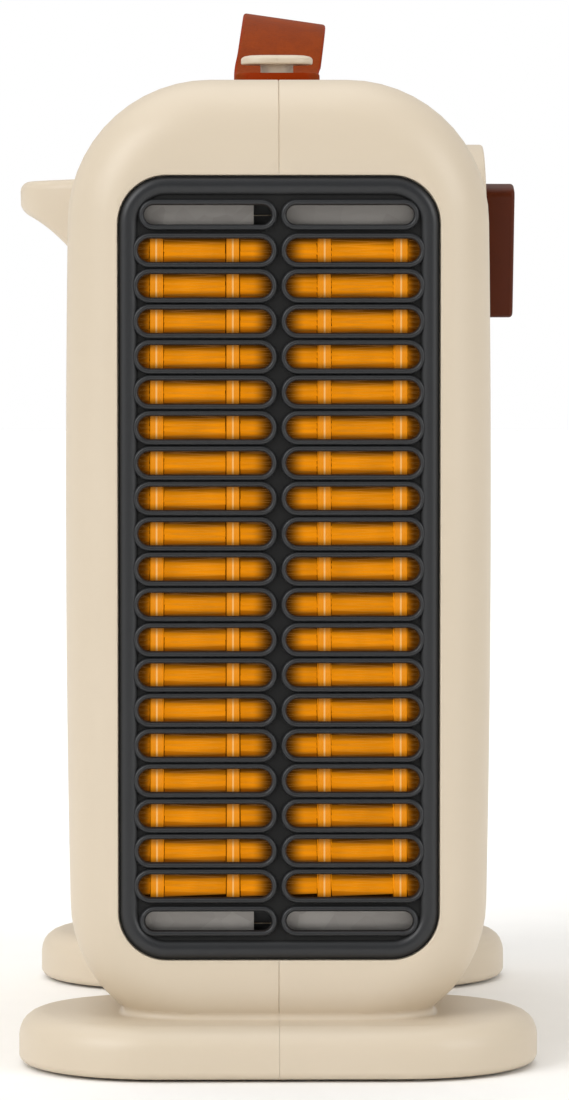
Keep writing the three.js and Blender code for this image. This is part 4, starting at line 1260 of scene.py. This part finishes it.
low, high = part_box("intake_filter")
screen = grown("dust_screen", screen_tree, {
    "Width": high[0] - low[0], "Height": high[2] - low[2], "Material": filter_nylon
})
screen.data.transform(Euler((math.pi / 2, 0, 0)).to_matrix().to_4x4())
screen.data.transform(Matrix.Translation((0, (low[1] + high[1]) / 2, (low[2] + high[2]) / 2)))
finished(screen, filter_nylon)
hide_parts("intake_filter")
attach(screen, "root")

# ---- Metal and plastic pieces inside --------------------------------------------------------------
# What the shells hide keeps its shape from the frame: sheet-metal blower, wheel, motor, thermostat,
# safety devices and leads. Each family gets the finish of the real material.


def plain_finish(name, dark, light, cloud_mm, grain_mm, roughness, metallic, relief_strength):
    """A material with a cloudy tint and a grained surface; the sizes are those of the real pattern."""
    material, tree, shader, place = surface(name)
    cloud = add(tree, "ShaderNodeTexNoise", {"Vector": place, "Scale": 1 / (cloud_mm * MM), "Detail": 3.0})
    tint = add(tree, "ShaderNodeMix", {
        0: cloud.outputs[0], 6: linear(dark), 7: linear(light)
    }, data_type="RGBA")
    tree.links.new(tint.outputs[2], shader.inputs["Base Color"])
    grain = add(tree, "ShaderNodeTexNoise", {"Vector": place, "Scale": 1 / (grain_mm * MM), "Detail": 2.0})
    gloss = add(tree, "ShaderNodeMapRange", {
        "Value": grain.outputs[0], "To Min": roughness - 0.06, "To Max": roughness + 0.06
    })
    tree.links.new(gloss.outputs[0], shader.inputs["Roughness"])
    relief = add(tree, "ShaderNodeBump", {
        "Height": grain.outputs[0], "Strength": relief_strength, "Distance": 0.1 * MM
    })
    tree.links.new(relief.outputs[0], shader.inputs["Normal"])
    shader.inputs["Metallic"].default_value = metallic
    return material


# hot-dip galvanised sheet: grey zinc with crystal flowers of about 6 mm
galvanised_sheet, tree, shader, place = surface("galvanised_sheet")
flowers = add(tree, "ShaderNodeTexVoronoi", {"Vector": place, "Scale": 1 / (6 * MM)})
sparkle = add(tree, "ShaderNodeSeparateXYZ", {0: flowers.outputs["Color"]})
tint = add(tree, "ShaderNodeMix", {
    0: sparkle.outputs["X"], 6: linear("9a9692"), 7: linear("a5a19d")
}, data_type="RGBA")
tree.links.new(tint.outputs[2], shader.inputs["Base Color"])
gloss = add(tree, "ShaderNodeMapRange", {"Value": sparkle.outputs["Y"], "To Min": 0.4, "To Max": 0.5})
tree.links.new(gloss.outputs[0], shader.inputs["Roughness"])
shader.inputs["Metallic"].default_value = 0.75

zinc_steel = plain_finish("zinc_plated_steel", "9c9fa4", "b6b8bb", 3.0, 0.3, 0.32, 1.0, 0.05)
cast_aluminium = plain_finish("die_cast_aluminium", "8d8f91", "a7a9ab", 4.0, 0.5, 0.5, 1.0, 0.2)
enamelled_copper = plain_finish("enamelled_copper_wire", "7c3517", "b8683a", 0.6, 0.35, 0.35, 0.9, 0.5)
rolled_brass = plain_finish("rolled_brass", "b5913f", "cda95a", 5.0, 0.3, 0.35, 1.0, 0.05)
heatproof_plastic = plain_finish("glass_filled_nylon", "121213", "1d1d1f", 2.0, 0.3, 0.5, 0.0, 0.15)
white_plastic = plain_finish("white_ceramic_and_silicone", "cfccc4", "dedbd4", 4.0, 0.4, 0.45, 0.0, 0.1)
rotor_steel = plain_finish("laminated_motor_steel", "7c7f83", "94979b", 0.5, 0.5, 0.4, 1.0, 0.3)

families = {
    "galvanised_sheet": (galvanised_sheet, [
        "element_frame", "blower_wall_left", "blower_wall_right", "blower_plate_top", "blower_plate_bottom",
    ]),
    "motor_steel": (zinc_steel, [
        "shell_screw_1", "shell_screw_2", "shell_screw_3", "shell_screw_4", "impeller_shaft",
        "motor_screw_1", "motor_screw_2", "thermostat_screw_1", "thermostat_screw_2", "tip_switch_pin",
    ]),
    "stator": (rotor_steel, ["motor_stator"]),
    "cast_aluminium": (cast_aluminium, ["motor_rotor", "motor_bracket_upper", "motor_bracket_lower"]),
    "copper_wire": (enamelled_copper, ["motor_coil"]),
    "brass_plate": (rolled_brass, [
        "element_terminal_1", "element_terminal_2", "dial_shaft", "tip_pendulum",
    ]),
    "heat_plastic": (heatproof_plastic, [
        "element_cap_top", "element_cap_bottom", "impeller", "thermal_cutout", "tip_switch_housing",
    ]),
    "black_rubber": (matt_rubber, ["impeller_bearing"]),
    "white_insulation": (white_plastic, [
        "thermostat", "thermal_fuse", "terminal_block", "live_lead", "heater_lead", "neutral_lead",
    ]),
}
for material, nodes in families.values():
    for node in nodes:
        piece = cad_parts[node]
        for place_in_piece in piece.material_slots:
            place_in_piece.material = material
